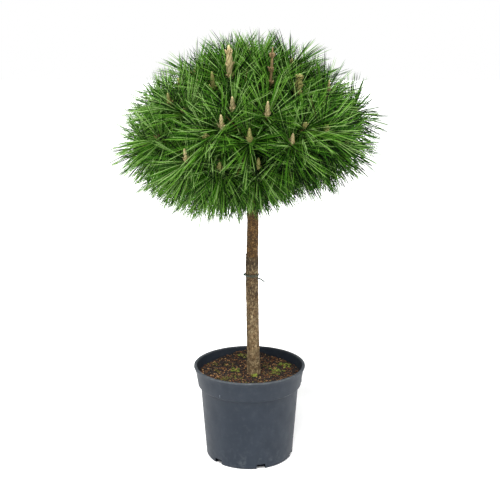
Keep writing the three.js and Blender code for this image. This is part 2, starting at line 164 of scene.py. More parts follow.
class Graph:
    """One material or world under construction."""

    def __init__(self, name: str, world: bool = False) -> None:
        """Starts an empty material, or an empty world, of that name.

        Args:
            name: The name of the material or world.
            world: Whether it is a world.
        """
        self.owner = (bpy.data.worlds if world else bpy.data.materials).new(name)
        self.owner.use_nodes = True
        self.tree = self.owner.node_tree
        self.tree.nodes.clear()

    def node(
        self,
        kind: str,
        settings: dict[str, object] | None = None,
        values: dict[str | int, object] | None = None,
        out: str | int | None = 0,
    ) -> Socket | None:
        """Adds a node.

        Args:
            kind: Blender's type name of the node.
            settings: The node's properties, set first; "stops" gives a colour ramp's stops.
            values: A value, a colour or a Socket for each input, by its name or number.
            out: The name or number of the output that is returned, None for a node without one.

        Returns:
            The chosen output.
        """
        made = self.tree.nodes.new(kind)
        for key, value in (settings or {}).items():
            if key == "stops":
                self._set_stops(made.color_ramp, value)
            else:
                setattr(made, key, value)
        for key, value in (values or {}).items():
            if isinstance(value, Socket):
                self.tree.links.new(value.out, made.inputs[key])
            else:
                made.inputs[key].default_value = value
        return None if out is None else Socket(self, made.outputs[out])

    @staticmethod
    def _set_stops(ramp: bpy.types.ColorRamp, stops: Sequence[tuple[float, Rgba]]) -> None:
        """Gives a ramp its stops, each a place from 0 to 1 and a colour.

        Args:
            ramp: The ramp.
            stops: Its stops in order.
        """
        while len(ramp.elements) < len(stops):
            ramp.elements.new(0.5)
        for element, (place, colour) in zip(ramp.elements, stops):
            element.position = place
            element.color = colour

    def place(self, stretch: tuple[float, float, float] = (1, 1, 1)) -> Socket:
        """Object coordinates in metres, times a stretch on each axis."""
        here = self.node("ShaderNodeTexCoord", out="Object")
        return self.node("ShaderNodeMapping", values={"Vector": here, "Scale": stretch})

    def grain(self, place: Socket, size_mm: float, detail: float = 3.0) -> Socket:
        """Soft noise from 0 to 1 with features of about that size."""
        values = {"Vector": place, "Scale": 1 / (size_mm * MM), "Detail": detail, "Roughness": 0.6}
        return self.node("ShaderNodeTexNoise", values=values)

    def spots(self, place: Socket, size_mm: float) -> Socket:
        """Distance from the nearest of many scattered points about that far apart."""
        values = {"Vector": place, "Scale": 1 / (size_mm * MM)}
        return self.node("ShaderNodeTexVoronoi", values=values)

    def attribute(self, name: str) -> Socket:
        """A number that the mesh stores at its points."""
        return self.node("ShaderNodeAttribute", {"attribute_name": name}, out="Fac")

    def ramp(self, value: Socket, *stops: tuple[float, Rgba]) -> Socket:
        """A colour read off a row of stops."""
        return self.node("ShaderNodeValToRGB", {"stops": stops}, {0: value})

    def mixed(self, share: Socket | float, first: Socket | Rgba, second: Socket | Rgba) -> Socket:
        """Two colours mixed by a share of the second."""
        settings = {"data_type": "RGBA"}
        return self.node("ShaderNodeMix", settings, {0: share, 6: first, 7: second}, out=2)

    def relief(self, height: Socket, depth_mm: float) -> Socket:
        """A bumped normal from a height between 0 and 1."""
        values = {"Strength": 1.0, "Distance": depth_mm * MM, "Height": height}
        return self.node("ShaderNodeBump", values=values)

    def finish(self, **values: object) -> bpy.types.Material:
        """Ends the material with a surface shader.

        Args:
            **values: Inputs of the surface shader, with underscores for the spaces.

        Returns:
            The finished material.
        """
        inputs = {key.replace("_", " "): value for key, value in values.items()}
        surface = self.node("ShaderNodeBsdfPrincipled", values=inputs)
        self.node("ShaderNodeOutputMaterial", values={"Surface": surface}, out=None)
        return self.owner


# ---------------------------------------------------------------- finishes


@dataclass(frozen=True)
class RecycledPlastic:
    """Matt blue-grey moulded plastic, faintly clouded and scuffed, dusted most towards the foot, with a
    pale band round the rim's lip that is partly dusting and partly painted highlight.
    """

    name: str = "recycled_plastic"
    body: Rgba = srgb(26, 34, 44)
    cloud: Rgba = srgb(33, 41, 51)
    dust_and_highlight: Rgba = srgb(100, 104, 106)
    foot_dust_m: float = 0.055
    rim_highlight_and_dust_m: tuple[float, float] = (0.2165, 0.2195)

    def build(self) -> bpy.types.Material:
        """Makes the material.

        Returns:
            The material.
        """
        graph = Graph(self.name)
        here = graph.place()
        upright = graph.place((1, 1, 0.12))
        clouds = graph.grain(here, 46, 4).steps(0.35, 0.7)
        streaks = graph.grain(upright, 7, 3).steps(0.4, 0.75)
        specks = graph.grain(here, 1.6, 2)
        colour = graph.mixed(clouds * 0.55 + streaks * 0.3, self.body, self.cloud)
        height = graph.node("ShaderNodeSeparateXYZ", values={0: here}, out="Z")
        foot = 1 - height.steps(0.0, self.foot_dust_m)
        # The rim's lip gets a pale band that is partly dusting and partly painted highlight where the lip
        # catches the light.
        rim = height.steps(*self.rim_highlight_and_dust_m)
        blotches = graph.grain(here, 12, 5).steps(0.46, 0.78)
        dusting_and_highlight = blotches * (foot * 0.16 + 0.07) + rim * (0.35 + blotches * 0.4)
        colour = graph.mixed(dusting_and_highlight, colour, self.dust_and_highlight)
        roughness = 0.5 + specks * 0.12 + dusting_and_highlight * 0.3 - clouds * 0.05
        normal = graph.relief(specks * 0.7 + streaks * 0.3, 0.12)
        return graph.finish(
            Base_Color=colour, Roughness=roughness, Normal=normal, Specular_IOR_Level=0.22
        )


@dataclass(frozen=True)
class Earth:
    """Damp dark potting soil: fibre, fine bark and grit."""

    name: str = "potting_earth"
    dark: Rgba = srgb(8, 5, 3)
    mid: Rgba = srgb(28, 16, 8)
    pale: Rgba = srgb(90, 58, 33)

    def build(self) -> bpy.types.Material:
        """Makes the material.

        Returns:
            The material.
        """
        graph = Graph(self.name)
        here = graph.place()
        lumps = graph.grain(here, 5, 4)
        grit = graph.spots(here, 2.4)
        colour = graph.ramp(
            lumps, (0.3, self.dark), (0.5, self.mid), (0.62, self.dark), (0.75, self.pale)
        )
        colour = graph.mixed((1 - grit.steps(0.1, 0.45)) * 0.35, colour, self.pale)
        normal = graph.relief(lumps * 0.6 + grit * 0.4, 1.4)
        return graph.finish(Base_Color=colour, Roughness=0.86 + lumps * 0.1, Normal=normal)


@dataclass(frozen=True)
class Crumb:
    """One colour of the loose bits on the soil, mottled by its grain."""

    name: str
    colour: Rgba
    vein: Rgba
    roughness: float = 0.85

    def build(self) -> bpy.types.Material:
        """Makes the material.

        Returns:
            The material.
        """
        graph = Graph(self.name)
        grain = graph.grain(graph.place((1, 1, 0.4)), 1.3, 3)
        colour = graph.mixed(grain.steps(0.35, 0.7), self.colour, self.vein)
        normal = graph.relief(grain, 0.4)
        return graph.finish(Base_Color=colour, Roughness=self.roughness, Normal=normal)


@dataclass(frozen=True)
class StemBark:
    """Scaly bark that reads each scale's tone and the depth of its fissures off the mesh."""

    name: str = "stem_bark"
    graft_mm: float = 479.0
    pale_foot_m: tuple[float, float] = (0.27, 0.42)
    collar_m: tuple[float, float, float, float] = (0.448, 0.466, 0.474, 0.484)
    stain_m: tuple[float, float, float, float] = (0.420, 0.432, 0.442, 0.452)

    def build(self) -> bpy.types.Material:
        """Makes the material.

        Returns:
            The material.
        """
        graph = Graph(self.name)
        here = graph.place()
        fine = graph.grain(here, 1.5, 4)
        crackle = graph.spots(graph.place((1, 1, 0.6)), 1.9).steps(0.12, 0.6)
        patches = graph.grain(here, 17, 3)
        height = graph.node("ShaderNodeSeparateXYZ", values={0: here}, out="Z")
        low = 1 - height.steps(*self.pale_foot_m)
        tone = graph.attribute("tone") * 0.95 + fine * 0.6 - 0.27 + low * 0.1
        old = graph.ramp(
            tone,
            (0.1, srgb(34, 26, 17)),
            (0.34, srgb(88, 72, 50)),
            (0.56, srgb(136, 114, 82)),
            (0.82, srgb(186, 164, 124)),
        )
        young = graph.ramp(
            tone,
            (0.1, srgb(24, 15, 7)),
            (0.38, srgb(78, 56, 29)),
            (0.62, srgb(124, 92, 50)),
            (0.88, srgb(186, 148, 96)),
        )
        above = (height + patches * 0.008).steps(
            (self.graft_mm + 1) * MM, (self.graft_mm + 8) * MM
        )
        colour = graph.mixed(above, old, young)
        orange = patches.steps(0.45, 0.62) * 0.16
        colour = graph.mixed(orange, colour, srgb(132, 84, 40))
        dark = height.band(*self.collar_m) * graph.grain(here, 8, 3).steps(0.3, 0.52) * 0.7
        colour = graph.mixed(dark, colour, srgb(42, 34, 26))
        stain = height.band(*self.stain_m) * 0.5 + (1 - above) * 0.2
        green = graph.grain(here, 7, 3).steps(0.5, 0.68) * stain
        colour = graph.mixed(green, colour, srgb(88, 104, 70))
        fissure = 1 - graph.attribute("plate").steps(0.1, 0.62)
        colour = graph.mixed(fissure * (0.75 - low * 0.25), colour, srgb(40, 29, 18))
        colour = graph.mixed(crackle * 0.35, colour, srgb(46, 34, 22))
        normal = graph.relief(fine * 0.6 - crackle * 0.4, 0.9)
        return graph.finish(
            Base_Color=colour, Roughness=0.84 + fine * 0.1, Normal=normal, Specular_IOR_Level=0.3
        )


@dataclass(frozen=True)
class YoungBark:
    """Thin orange-brown bark of boughs and twigs, ringed with the scars of old needles."""

    name: str = "young_bark"
    light: Rgba = srgb(108, 76, 42)
    dark: Rgba = srgb(56, 38, 20)

    def build(self) -> bpy.types.Material:
        """Makes the material.

        Returns:
            The material.
        """
        graph = Graph(self.name)
        here = graph.place()
        scars = graph.spots(graph.place((1, 1, 0.7)), 3.0).steps(0.1, 0.5)
        grain = graph.grain(here, 2.2, 3)
        colour = graph.mixed(scars * 0.6 + grain * 0.4, self.dark, self.light)
        normal = graph.relief(scars * 0.6 + grain * 0.4, 0.7)
        return graph.finish(Base_Color=colour, Roughness=0.8 + grain * 0.1, Normal=normal)


@dataclass(frozen=True)
class NeedleGreen:
    """One plain green of the needles. The sprays differ by which greens they are dealt."""

    name: str
    colour: Rgba
    roughness: float = 0.45

    def build(self) -> bpy.types.Material:
        """Makes the material.

        Returns:
            The material.
        """
        return Graph(self.name).finish(
            Base_Color=self.colour, Roughness=self.roughness, Specular_IOR_Level=0.06
        )


@dataclass(frozen=True)
class BudScale:
    """Papery scales of a bud, darker between the scales."""

    name: str
    light: Rgba
    dark: Rgba

    def build(self) -> bpy.types.Material:
        """Makes the material.

        Returns:
            The material.
        """
        graph = Graph(self.name)
        here = graph.place()
        scales = graph.attribute("scale").steps(0.05, 0.6)
        grain = graph.grain(here, 1.5, 2)
        colour = graph.mixed(scales * 0.8 + grain * 0.3, self.dark, self.light)
        return graph.finish(Base_Color=colour, Roughness=0.6 + grain * 0.2)


@dataclass(frozen=True)
class TieTwine:
    """Green twisted tie with a dull sheen, its colour worn here and there."""

    name: str
    fresh: Rgba
    worn: Rgba

    def build(self) -> bpy.types.Material:
        """Makes the material.

        Returns:
            The material.
        """
        graph = Graph(self.name)
        here = graph.place()
        wear = graph.grain(here, 4, 3).steps(0.4, 0.7)
        fibre = graph.grain(here, 0.8, 2)
        colour = graph.mixed(wear, self.fresh, self.worn)
        return graph.finish(
            Base_Color=colour, Roughness=0.55 + fibre * 0.2, Normal=graph.relief(fibre, 0.3)
        )


@dataclass(frozen=True)
class WeedLeaf:
    """Fresh moss or seedling leaf, mottled from leaf to leaf."""

    name: str
    young: Rgba
    old: Rgba

    def build(self) -> bpy.types.Material:
        """Makes the material.

        Returns:
            The material.
        """
        graph = Graph(self.name)
        patches = graph.grain(graph.place(), 4, 3).steps(0.35, 0.65)
        return graph.finish(Base_Color=graph.mixed(patches, self.young, self.old), Roughness=0.55)


@dataclass(frozen=True)
class FloorPaint:
    """Pale plain matt floor with painted light: it glows a little from just outside the pot's foot, which
    washes out the shadows cast on it away from the pot.
    """

    name: str = "floor_paint"
    paint: Rgba = (0.92, 0.92, 0.92, 1.0)
    glow_m: tuple[float, float] = (0.084, 0.11)
    glow_strength: float = 0.3

    def build(self) -> bpy.types.Material:
        """Makes the material.

        Returns:
            The material.
        """
        graph = Graph(self.name)
        away = graph.node("ShaderNodeVectorMath", {"operation": "LENGTH"}, {0: graph.place()}, "Value")
        # Painted light: the floor glows from just outside the pot's foot outwards.
        glow = graph.mixed(away.steps(*self.glow_m), (0, 0, 0, 1), (1, 1, 1, 1))
        return graph.finish(
            Base_Color=self.paint,
            Roughness=0.95,
            Specular_IOR_Level=0.0,
            Emission_Color=glow,
            Emission_Strength=self.glow_strength,
        )


# ---------------------------------------------------------------- pieces of mesh


@dataclass(frozen=True)
class Station:
    """One ring of a limb."""

    centre: Vector
    turn: Quaternion
    radius: float

    def matrix(self) -> Matrix:
        """The place, turn and size of the ring's unit disc, in metres."""
        size = Vector((self.radius, self.radius, self.radius)) * MM
        return Matrix.LocRotScale(self.centre * MM, self.turn, size)


def stations_along(points: Sequence[Vector], radii: Sequence[float]) -> list[Station]:
    """Rings along a row of points, turned with the row and never twisted.

    Args:
        points: Where the rings' centres lie, in millimetres.
        radii: The radius of each ring.

    Returns:
        One station for each point.
    """
    last = len(points) - 1
    stations: list[Station] = []
    turn = (points[1] - points[0]).to_track_quat("Z", "Y")
    heading = (points[1] - points[0]).normalized()
    for i, (point, radius) in enumerate(zip(points, radii)):
        ahead = (points[min(i + 1, last)] - points[max(i - 1, 0)]).normalized()
        turn = heading.rotation_difference(ahead) @ turn
        heading = ahead
        stations.append(Station(point, turn.copy(), radius))
    return stations


def sweep(bm: bmesh.types.BMesh, stations: Sequence[Station], sides: int) -> None:
    """Adds a closed limb: a disc that is extruded from ring to ring.

    Args:
        bm: The mesh that gets the limb.
        stations: Its rings, from its foot to its end.
        sides: How many corners a ring has.
    """
    before = stations[0].matrix()
    disc = bmesh.ops.create_circle(bm, cap_ends=True, segments=sides, radius=1, matrix=before)
    face = disc["verts"][0].link_faces[0]
    for station in stations[1:]:
        grown = bmesh.ops.extrude_face_region(bm, geom=[face])["geom"]
        verts = [item for item in grown if isinstance(item, bmesh.types.BMVert)]
        face = next(item for item in grown if isinstance(item, bmesh.types.BMFace))
        after = station.matrix()
        bmesh.ops.transform(bm, matrix=after @ before.inverted(), verts=verts)
        before = after


def spun(profile: Sequence[tuple[float, float]], steps: int) -> bmesh.types.BMesh:
    """A closed shape of revolution about +Z.

    Args:
        profile: Radius and height of each corner in millimetres, from the axis to the axis.
        steps: How many steps the full turn has.

    Returns:
        The bmesh, in metres.
    """
    bm = bmesh.new()
    verts = [bm.verts.new((radius * MM, 0, height * MM)) for radius, height in profile]
    edges = [bm.edges.new(pair) for pair in zip(verts, verts[1:])]
    bmesh.ops.spin(
        bm,
        geom=[*verts, *edges],
        cent=(0, 0, 0),
        axis=(0, 0, 1),
        angle=2 * math.pi,
        steps=steps,
        use_merge=True,
    )
    bmesh.ops.remove_doubles(bm, verts=bm.verts[:], dist=0.002 * MM)
    bmesh.ops.recalc_face_normals(bm, faces=bm.faces[:])
    return bm


def rounded(
    bm: bmesh.types.BMesh,
    edges: Sequence[bmesh.types.BMEdge],
    offset: float,
    segments: int,
    clamp: bool = False,
) -> None:
    """Rounds edges off.

    Args:
        bm: The mesh that has them.
        edges: The edges.
        offset: How far the rounding reaches, in the mesh's own units.
        segments: How many faces it takes.
        clamp: Whether neighbouring roundings are kept from crossing.
    """
    bmesh.ops.bevel(
        bm,
        geom=edges,
        offset=offset,
        affect="EDGES",
        segments=segments,
        profile=0.5,
        material=-1,
        clamp_overlap=clamp,
    )


def show(
    mesh: bpy.types.Mesh,
    materials: Sequence[bpy.types.Material],
    nodes: Iterable[str] = (),
) -> bpy.types.Object:
    """Puts a mesh on show as a piece of the object.

    Args:
        mesh: The mesh, in metres, named as the piece is.
        materials: Its materials, in the order of its faces' material numbers.
        nodes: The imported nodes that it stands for.

    Returns:
        The piece.
    """
    piece = bpy.data.objects.new(mesh.name, mesh)
    bpy.context.scene.collection.objects.link(piece)
    for material in materials:
        mesh.materials.append(material)
    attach(piece, "root")
    if nodes:
        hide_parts(*nodes)
    LOG.info("%s: %d faces", mesh.name, len(mesh.polygons))
    return piece


def mesh_of(bm: bmesh.types.BMesh, name: str, sharp_degrees: float | None = None) -> bpy.types.Mesh:
    """A bmesh as a smooth-shaded mesh, and the bmesh freed.

    Args:
        bm: The finished bmesh.
        name: The mesh's and the piece's name.
        sharp_degrees: Edges that fold by more than this stay sharp.

    Returns:
        The mesh.
    """
    for face in bm.faces:
        face.smooth = True
    if sharp_degrees is not None:
        limit = math.radians(sharp_degrees)
        for edge in bm.edges:
            edge.smooth = edge.calc_face_angle(0.0) < limit
    mesh = bpy.data.meshes.new(name)
    bm.to_mesh(mesh)
    bm.free()
    return mesh


@dataclass
class Scatter:
    """Many copies of one small shape, joined into one mesh."""

    template: bmesh.types.BMesh
    matrices: list[Matrix] = field(default_factory=list)
    tones: list[int] = field(default_factory=list)

    def add(self, matrix: Matrix, tone: int = 0) -> None:
        """Sets a copy down with the material of that number."""
        self.matrices.append(matrix)
        self.tones.append(tone)

    def build(self, name: str, ragged: float = 0.0, seed: int = 1) -> bpy.types.Mesh:
        """Joins the copies.

        Args:
            name: The mesh's name.
            ragged: The share of its size by which each corner of a copy strays.
            seed: The seed of that straying.

        Returns:
            The joined mesh, in metres.
        """
        self.template.verts.ensure_lookup_table()
        corners = np.array([vert.co[:] for vert in self.template.verts])
        layer = self.template.verts.layers.float.get("scale")
        shades = np.array([vert[layer] if layer else 0.0 for vert in self.template.verts])
        rings = [[vert.index for vert in face.verts] for face in self.template.faces]
        strays = np.random.default_rng(seed).uniform(-ragged, ragged, (len(self.tones), *corners.shape))
        turns = np.array(self.matrices)
        copies = corners[None] + strays
        placed = np.einsum("nij,nkj->nki", turns[:, :3, :3], copies) + turns[:, None, :3, 3]
        count = len(corners)
        faces = [[i + n * count for i in ring] for n in range(len(self.tones)) for ring in rings]
        mesh = bpy.data.meshes.new(name)
        mesh.from_pydata(placed.reshape(-1, 3), [], faces)
        mesh.polygons.foreach_set("material_index", np.repeat(self.tones, len(rings)))
        mesh.polygons.foreach_set("use_smooth", np.ones(len(faces), dtype=bool))
        if layer:
            shade = mesh.attributes.new("scale", "FLOAT", "POINT")
            shade.data.foreach_set("value", np.tile(shades, len(self.tones)))
        self.template.free()
        return mesh


# ---------------------------------------------------------------- pot


@dataclass
class NurseryPot:
    """The thin-walled round pot with its lip, collar, step and drain slots."""

    height: float = 220.0
    rim_radius: float = 130.8
    lip_height: float = 2.5
    lip_slope: float = 12.0
    collar_top_radius: float = 126.3
    collar_foot_radius: float = 121.5
    collar_drop: float = 45.5
    step_drop: float = 5.0
    body_top_radius: float = 115.0
    foot_radius: float = 102.5
    wall: float = 2.0
    floor: float = 3.0
    drain_count: int = 6
    drain_first_deg: float = -15.0
    drain_width: float = 21.0
    drain_height: float = 12.0
    drain_depth: float = 13.0
    drain_round: float = 1.4
    foot_chamfer: float = 3.0
    groove_radius: float = 60.0
    groove_width: float = 5.0
    groove_depth: float = 0.6
    rim_chamfer: float = 0.8
    edge_round: float = 0.45
    nub_first_deg: float = -123.0
    nub_height: float = 182.0
    steps: int = 176

    @property
    def collar_foot(self) -> float:
        """Height of the collar's lower edge."""
        return self.height - self.collar_drop

    @property
    def body_top(self) -> float:
        """Height of the plain body's upper edge."""
        return self.collar_foot - self.step_drop

    def body_radius_at(self, height: float) -> float:
        """Outer radius of the tapering body."""
        return lerp(self.foot_radius, self.body_top_radius, height / self.body_top)

    def inner_radius_at(self, height: float) -> float:
        """Radius inside the collar."""
        share = (height - self.collar_foot) / self.collar_drop
        return lerp(self.collar_foot_radius, self.collar_top_radius, share) - self.wall

    def profile(self) -> list[tuple[float, float]]:
        """Radius and height of each corner, from the underside round the rim to the floor inside.

        Returns:
            The corners in millimetres.
        """
        lip_foot = self.height - self.lip_height
        groove_end = self.groove_radius + self.groove_width
        return [
            (0, 0),
            (self.groove_radius, 0),
            (self.groove_radius + 1, self.groove_depth),
            (groove_end - 1, self.groove_depth),
            (groove_end, 0),
            (self.foot_radius - self.foot_chamfer, 0),
            *((self.body_radius_at(z), z) for z in (self.foot_chamfer, 9, 18, 60, 110)),
            (self.body_top_radius, self.body_top),
            (self.collar_foot_radius, self.collar_foot),
            (self.collar_top_radius, lip_foot - self.lip_slope),
            (self.rim_radius - 1.2, lip_foot - 2),
            (self.rim_radius, lip_foot),
            (self.rim_radius, self.height - self.rim_chamfer),
            (self.rim_radius - self.rim_chamfer, self.height),
            (self.collar_top_radius - self.wall, self.height),
            (self.collar_foot_radius - self.wall, self.collar_foot),
            (self.body_top_radius - self.wall, self.body_top),
            (self.body_radius_at(self.floor) - self.wall, self.floor),
            (0, self.floor),
        ]

    def shell(self) -> bpy.types.Mesh:
        """The turned shell with its ring edges rounded and its drain slots cut.

        Returns:
            The mesh, in metres.
        """
        bm = spun(self.profile(), self.steps)
        rings = [
            edge
            for edge in bm.edges
            if abs(edge.verts[0].co.z - edge.verts[1].co.z) < 1e-6
            and abs(edge.verts[0].co.xy.length - edge.verts[1].co.xy.length) < 1e-6
            and edge.calc_face_angle(0.0) > math.radians(15)
        ]
        rounded(bm, rings, self.edge_round * MM, 2, clamp=True)
        mesh = mesh_of(bm, "shell_blank", 40)
        return self._slotted(mesh)

    def _slotted(self, mesh: bpy.types.Mesh) -> bpy.types.Mesh:
        """Cuts a slot at each drain.

        Args:
            mesh: The uncut shell, which is used up.

        Returns:
            The shell with its slots.
        """
        bm = bmesh.new()
        for i in range(self.drain_count):
            turn = math.radians(self.drain_first_deg) + 2 * math.pi * i / self.drain_count
            size = Vector((2 * self.drain_depth, self.drain_width, 2 * self.drain_height)) * MM
            made = bmesh.ops.create_cube(bm, size=1)
            place = Matrix.Rotation(turn, 4, "Z") @ Matrix.Translation((self.foot_radius * MM, 0, 0))
            matrix = place @ Matrix.Diagonal((*size, 1))
            bmesh.ops.transform(bm, matrix=matrix, verts=made["verts"])
        uprights = [e for e in bm.edges if e.verts[0].co.z > 0 and e.verts[1].co.z > 0]
        rounded(bm, uprights, self.drain_round * MM, 3)
        cutter = bpy.data.objects.new("slot_cutter", mesh_of(bm, "slot_cutter"))
        shell = bpy.data.objects.new("shell_blank", mesh)
        for each in (cutter, shell):
            bpy.context.scene.collection.objects.link(each)
        cut = shell.modifiers.new("slots", "BOOLEAN")
        cut.operation = "DIFFERENCE"
        cut.solver = "EXACT"
        cut.object = cutter
        seen = shell.evaluated_get(bpy.context.evaluated_depsgraph_get())
        done = bpy.data.meshes.new_from_object(seen)
        for each in (cutter, shell):
            bpy.data.meshes.remove(each.data)
        done.name = "pot_shell"
        blended = bmesh.new()
        blended.from_mesh(done)
        for edge in blended.edges:
            edge.smooth = edge.calc_face_angle(0.0) < math.radians(30)
        blended.to_mesh(done)
        blended.free()
        return done

    def nubs(self) -> bpy.types.Mesh:
        """Three little moulded pips on the collar, each with its short rib.

        Returns:
            The mesh, in metres.
        """
        bm = bmesh.new()
        done: set[bmesh.types.BMVert] = set()
        for i in range(3):
            turn = math.radians(self.nub_first_deg) + 2 * math.pi * i / 3
            radius = self.inner_radius_at(self.nub_height) + self.wall
            for rise, size in ((0.0, (2.6, 3.0, 2.6)), (-3.4, (1.6, 1.3, 5.0))):
                made = bmesh.ops.create_cube(bm, size=1)
                rounded(bm, list({e for v in made["verts"] for e in v.link_edges}), 0.28, 3)
                fresh = [v for v in bm.verts if v not in done]
                place = Matrix.Rotation(turn, 4, "Z") @ Matrix.Translation(
                    Vector((radius, 0, self.nub_height + rise)) * MM
                )
                matrix = place @ Matrix.Diagonal((*(Vector(size) * MM), 1))
                bmesh.ops.transform(bm, matrix=matrix, verts=fresh)
                done.update(fresh)
        return mesh_of(bm, "pot_nubs", 50)

    def build(self) -> None:
        """Makes the pot's pieces and dresses them."""
        plastic = RecycledPlastic().build()
        show(self.shell(), [plastic], ["pot"])
        # The pips get a paler plastic than the pot.
        pale = RecycledPlastic("pale_pip_plastic", srgb(70, 78, 86), srgb(90, 96, 104)).build()
        show(self.nubs(), [pale])


# ---------------------------------------------------------------- soil


class Growth(Enum):
    """What grows in a green spot on the soil."""

    MOSS = "moss"
    SEEDLING = "seedling"


class Loose(IntEnum):
    """What a loose bit on the soil is; its number is that of its material."""

    PEAT = 0
    BARK = 1
    FIBRE = 2
    PALE = 3
    GRIT = 4


@dataclass(frozen=True)
class GreenSpot:
    """A green spot on the soil: where it is, how wide it spreads and what grows there."""

    x: float
    y: float
    spread: float
    rosettes: int
    growth: Growth


@dataclass
class RootBall:
    """The soil in the pot with its crumbs, chips, grit, moss and seedlings."""

    pot: NurseryPot
    below_rim: float = 22.0
    foot_clear: float = 14.0
    steps: int = 150
    rings: int = 44
    crumbs: int = 3600
    crumb_shares: tuple[float, ...] = (0.5, 0.15, 0.19, 0.12, 0.04)
    crumb_clear: float = 3.5
    crumb_ragged: float = 0.24
    back_bank: float = 13.0
    bank_x: float = -6.0
    bank_width: float = 46.0
    lushness: float = 1.7
    stem_x: float = 10.0
    stem_radius: float = 17.0
    spots: tuple[GreenSpot, ...] = (
        GreenSpot(11, -21, 6, 7, Growth.SEEDLING),
        GreenSpot(64, 10, 13, 8, Growth.SEEDLING),
        GreenSpot(56, -6, 12, 14, Growth.MOSS),
        GreenSpot(84, 50, 11, 8, Growth.SEEDLING),
        GreenSpot(-36, 17, 9, 6, Growth.SEEDLING),
        GreenSpot(-31, -26, 16, 16, Growth.MOSS),
        GreenSpot(-55, -46, 12, 12, Growth.MOSS),
        GreenSpot(-46, 44, 12, 6, Growth.MOSS),
        GreenSpot(34, 40, 14, 8, Growth.MOSS),
        GreenSpot(-78, 8, 12, 4, Growth.MOSS),
        GreenSpot(30, -66, 16, 10, Growth.MOSS),
        GreenSpot(-6, -78, 14, 8, Growth.MOSS),
        GreenSpot(-12, 88, 10, 4, Growth.SEEDLING),
        GreenSpot(-84, 50, 10, 5, Growth.MOSS),
    )

    @property
    def ground(self) -> float:
        """Height of the soil's surface."""
        return self.pot.height - self.below_rim

    def surface_at(self, x: float, y: float) -> float:
        """Height of the rough surface above a point, in millimetres.

        Args:
            x: Place along X.
            y: Place along Y.

        Returns:
            The height.
        """
        broad = noise.noise(Vector((x / 26, y / 26, 3.1)))
        lumps = noise.noise(Vector((x / 7, y / 7, 9.7)))
        fine = noise.noise(Vector((x / 2.8, y / 2.8, 5.3)))
        heap = 1.6 * math.exp(-(((x - self.stem_x) ** 2 + y * y) / 700))
        spread = math.exp(-(((x - self.bank_x) / self.bank_width) ** 2))
        bank = (2 + self.back_bank * spread) * smooth(15, 110, y)
        return self.ground - 1.4 + 1.8 * broad + 2.2 * lumps + 1.5 * fine + heap + bank

    def ball(self) -> bpy.types.Mesh:
        """The soil as one closed body with a rough top.

        Returns:
            The mesh, in metres.
        """
        pot = self.pot
        clear = pot.wall + 0.4
        shoulder = pot.drain_height + self.foot_clear
        edge = pot.inner_radius_at(self.ground) - 0.4
        side = [
            (0, pot.floor + 0.3),
            (pot.foot_radius - pot.drain_depth - clear, pot.floor + 0.3),
            (pot.body_radius_at(shoulder) - clear, shoulder),
            (pot.body_top_radius - clear, pot.body_top),
            (pot.collar_foot_radius - clear, pot.collar_foot),
            (edge, self.ground - 3),
        ]
        top = [(edge * (1 - i / self.rings), self.ground) for i in range(self.rings + 1)]
        bm = spun([*side, *top], self.steps)
        for vert in bm.verts:
            if vert.co.z > (self.ground - 1) * MM:
                vert.co.z = self.surface_at(vert.co.x / MM, vert.co.y / MM) * MM
                level = vert.co.xy.length
                inside = (pot.inner_radius_at(vert.co.z / MM) - 0.4) * MM
                if level > inside:
                    vert.co.xy *= inside / level
        return mesh_of(bm, "soil_ball")

    def bits(self) -> bpy.types.Mesh:
        """Crumbs, bark chips, fibre and grit strewn on the surface.

        Returns:
            The joined mesh, in metres.
        """
        bm = bmesh.new()
        bmesh.ops.create_icosphere(bm, subdivisions=1, radius=1)
        scatter = Scatter(bm)
        rng = np.random.default_rng(11)
        for _ in range(self.crumbs):
            reach = self.pot.inner_radius_at(self.ground) - self.crumb_clear
            radius = reach * math.sqrt(rng.random())
            turn = rng.uniform(0, 2 * math.pi)
            x, y = radius * math.cos(turn), radius * math.sin(turn)
            if math.hypot(x - self.stem_x, y) < self.stem_radius:
                continue
            kind = Loose(rng.choice(len(Loose), p=self.crumb_shares))
            size = rng.uniform(0.8, 1.7) ** 1.6 * (0.6 if kind is Loose.GRIT else 1)
            shape = Vector((1.0, rng.uniform(0.5, 1), rng.uniform(0.4, 0.9)))
            if kind is Loose.BARK:
                shape.x = rng.uniform(1.2, 2.2)
            elif kind is Loose.FIBRE:
                shape = Vector((rng.uniform(2.0, 3.4), 0.42, 0.36))
            spin = Quaternion((0, 0, 1), rng.uniform(0, 2 * math.pi))
            tilt = Quaternion((1, rng.uniform(-1, 1), 0), rng.uniform(-0.7, 0.7))
            place = Vector((x, y, self.surface_at(x, y) + 0.3 * size)) * MM
            scatter.add(Matrix.LocRotScale(place, spin @ tilt, shape * size * MM), kind)
        return scatter.build("soil_bits", ragged=self.crumb_ragged, seed=5)

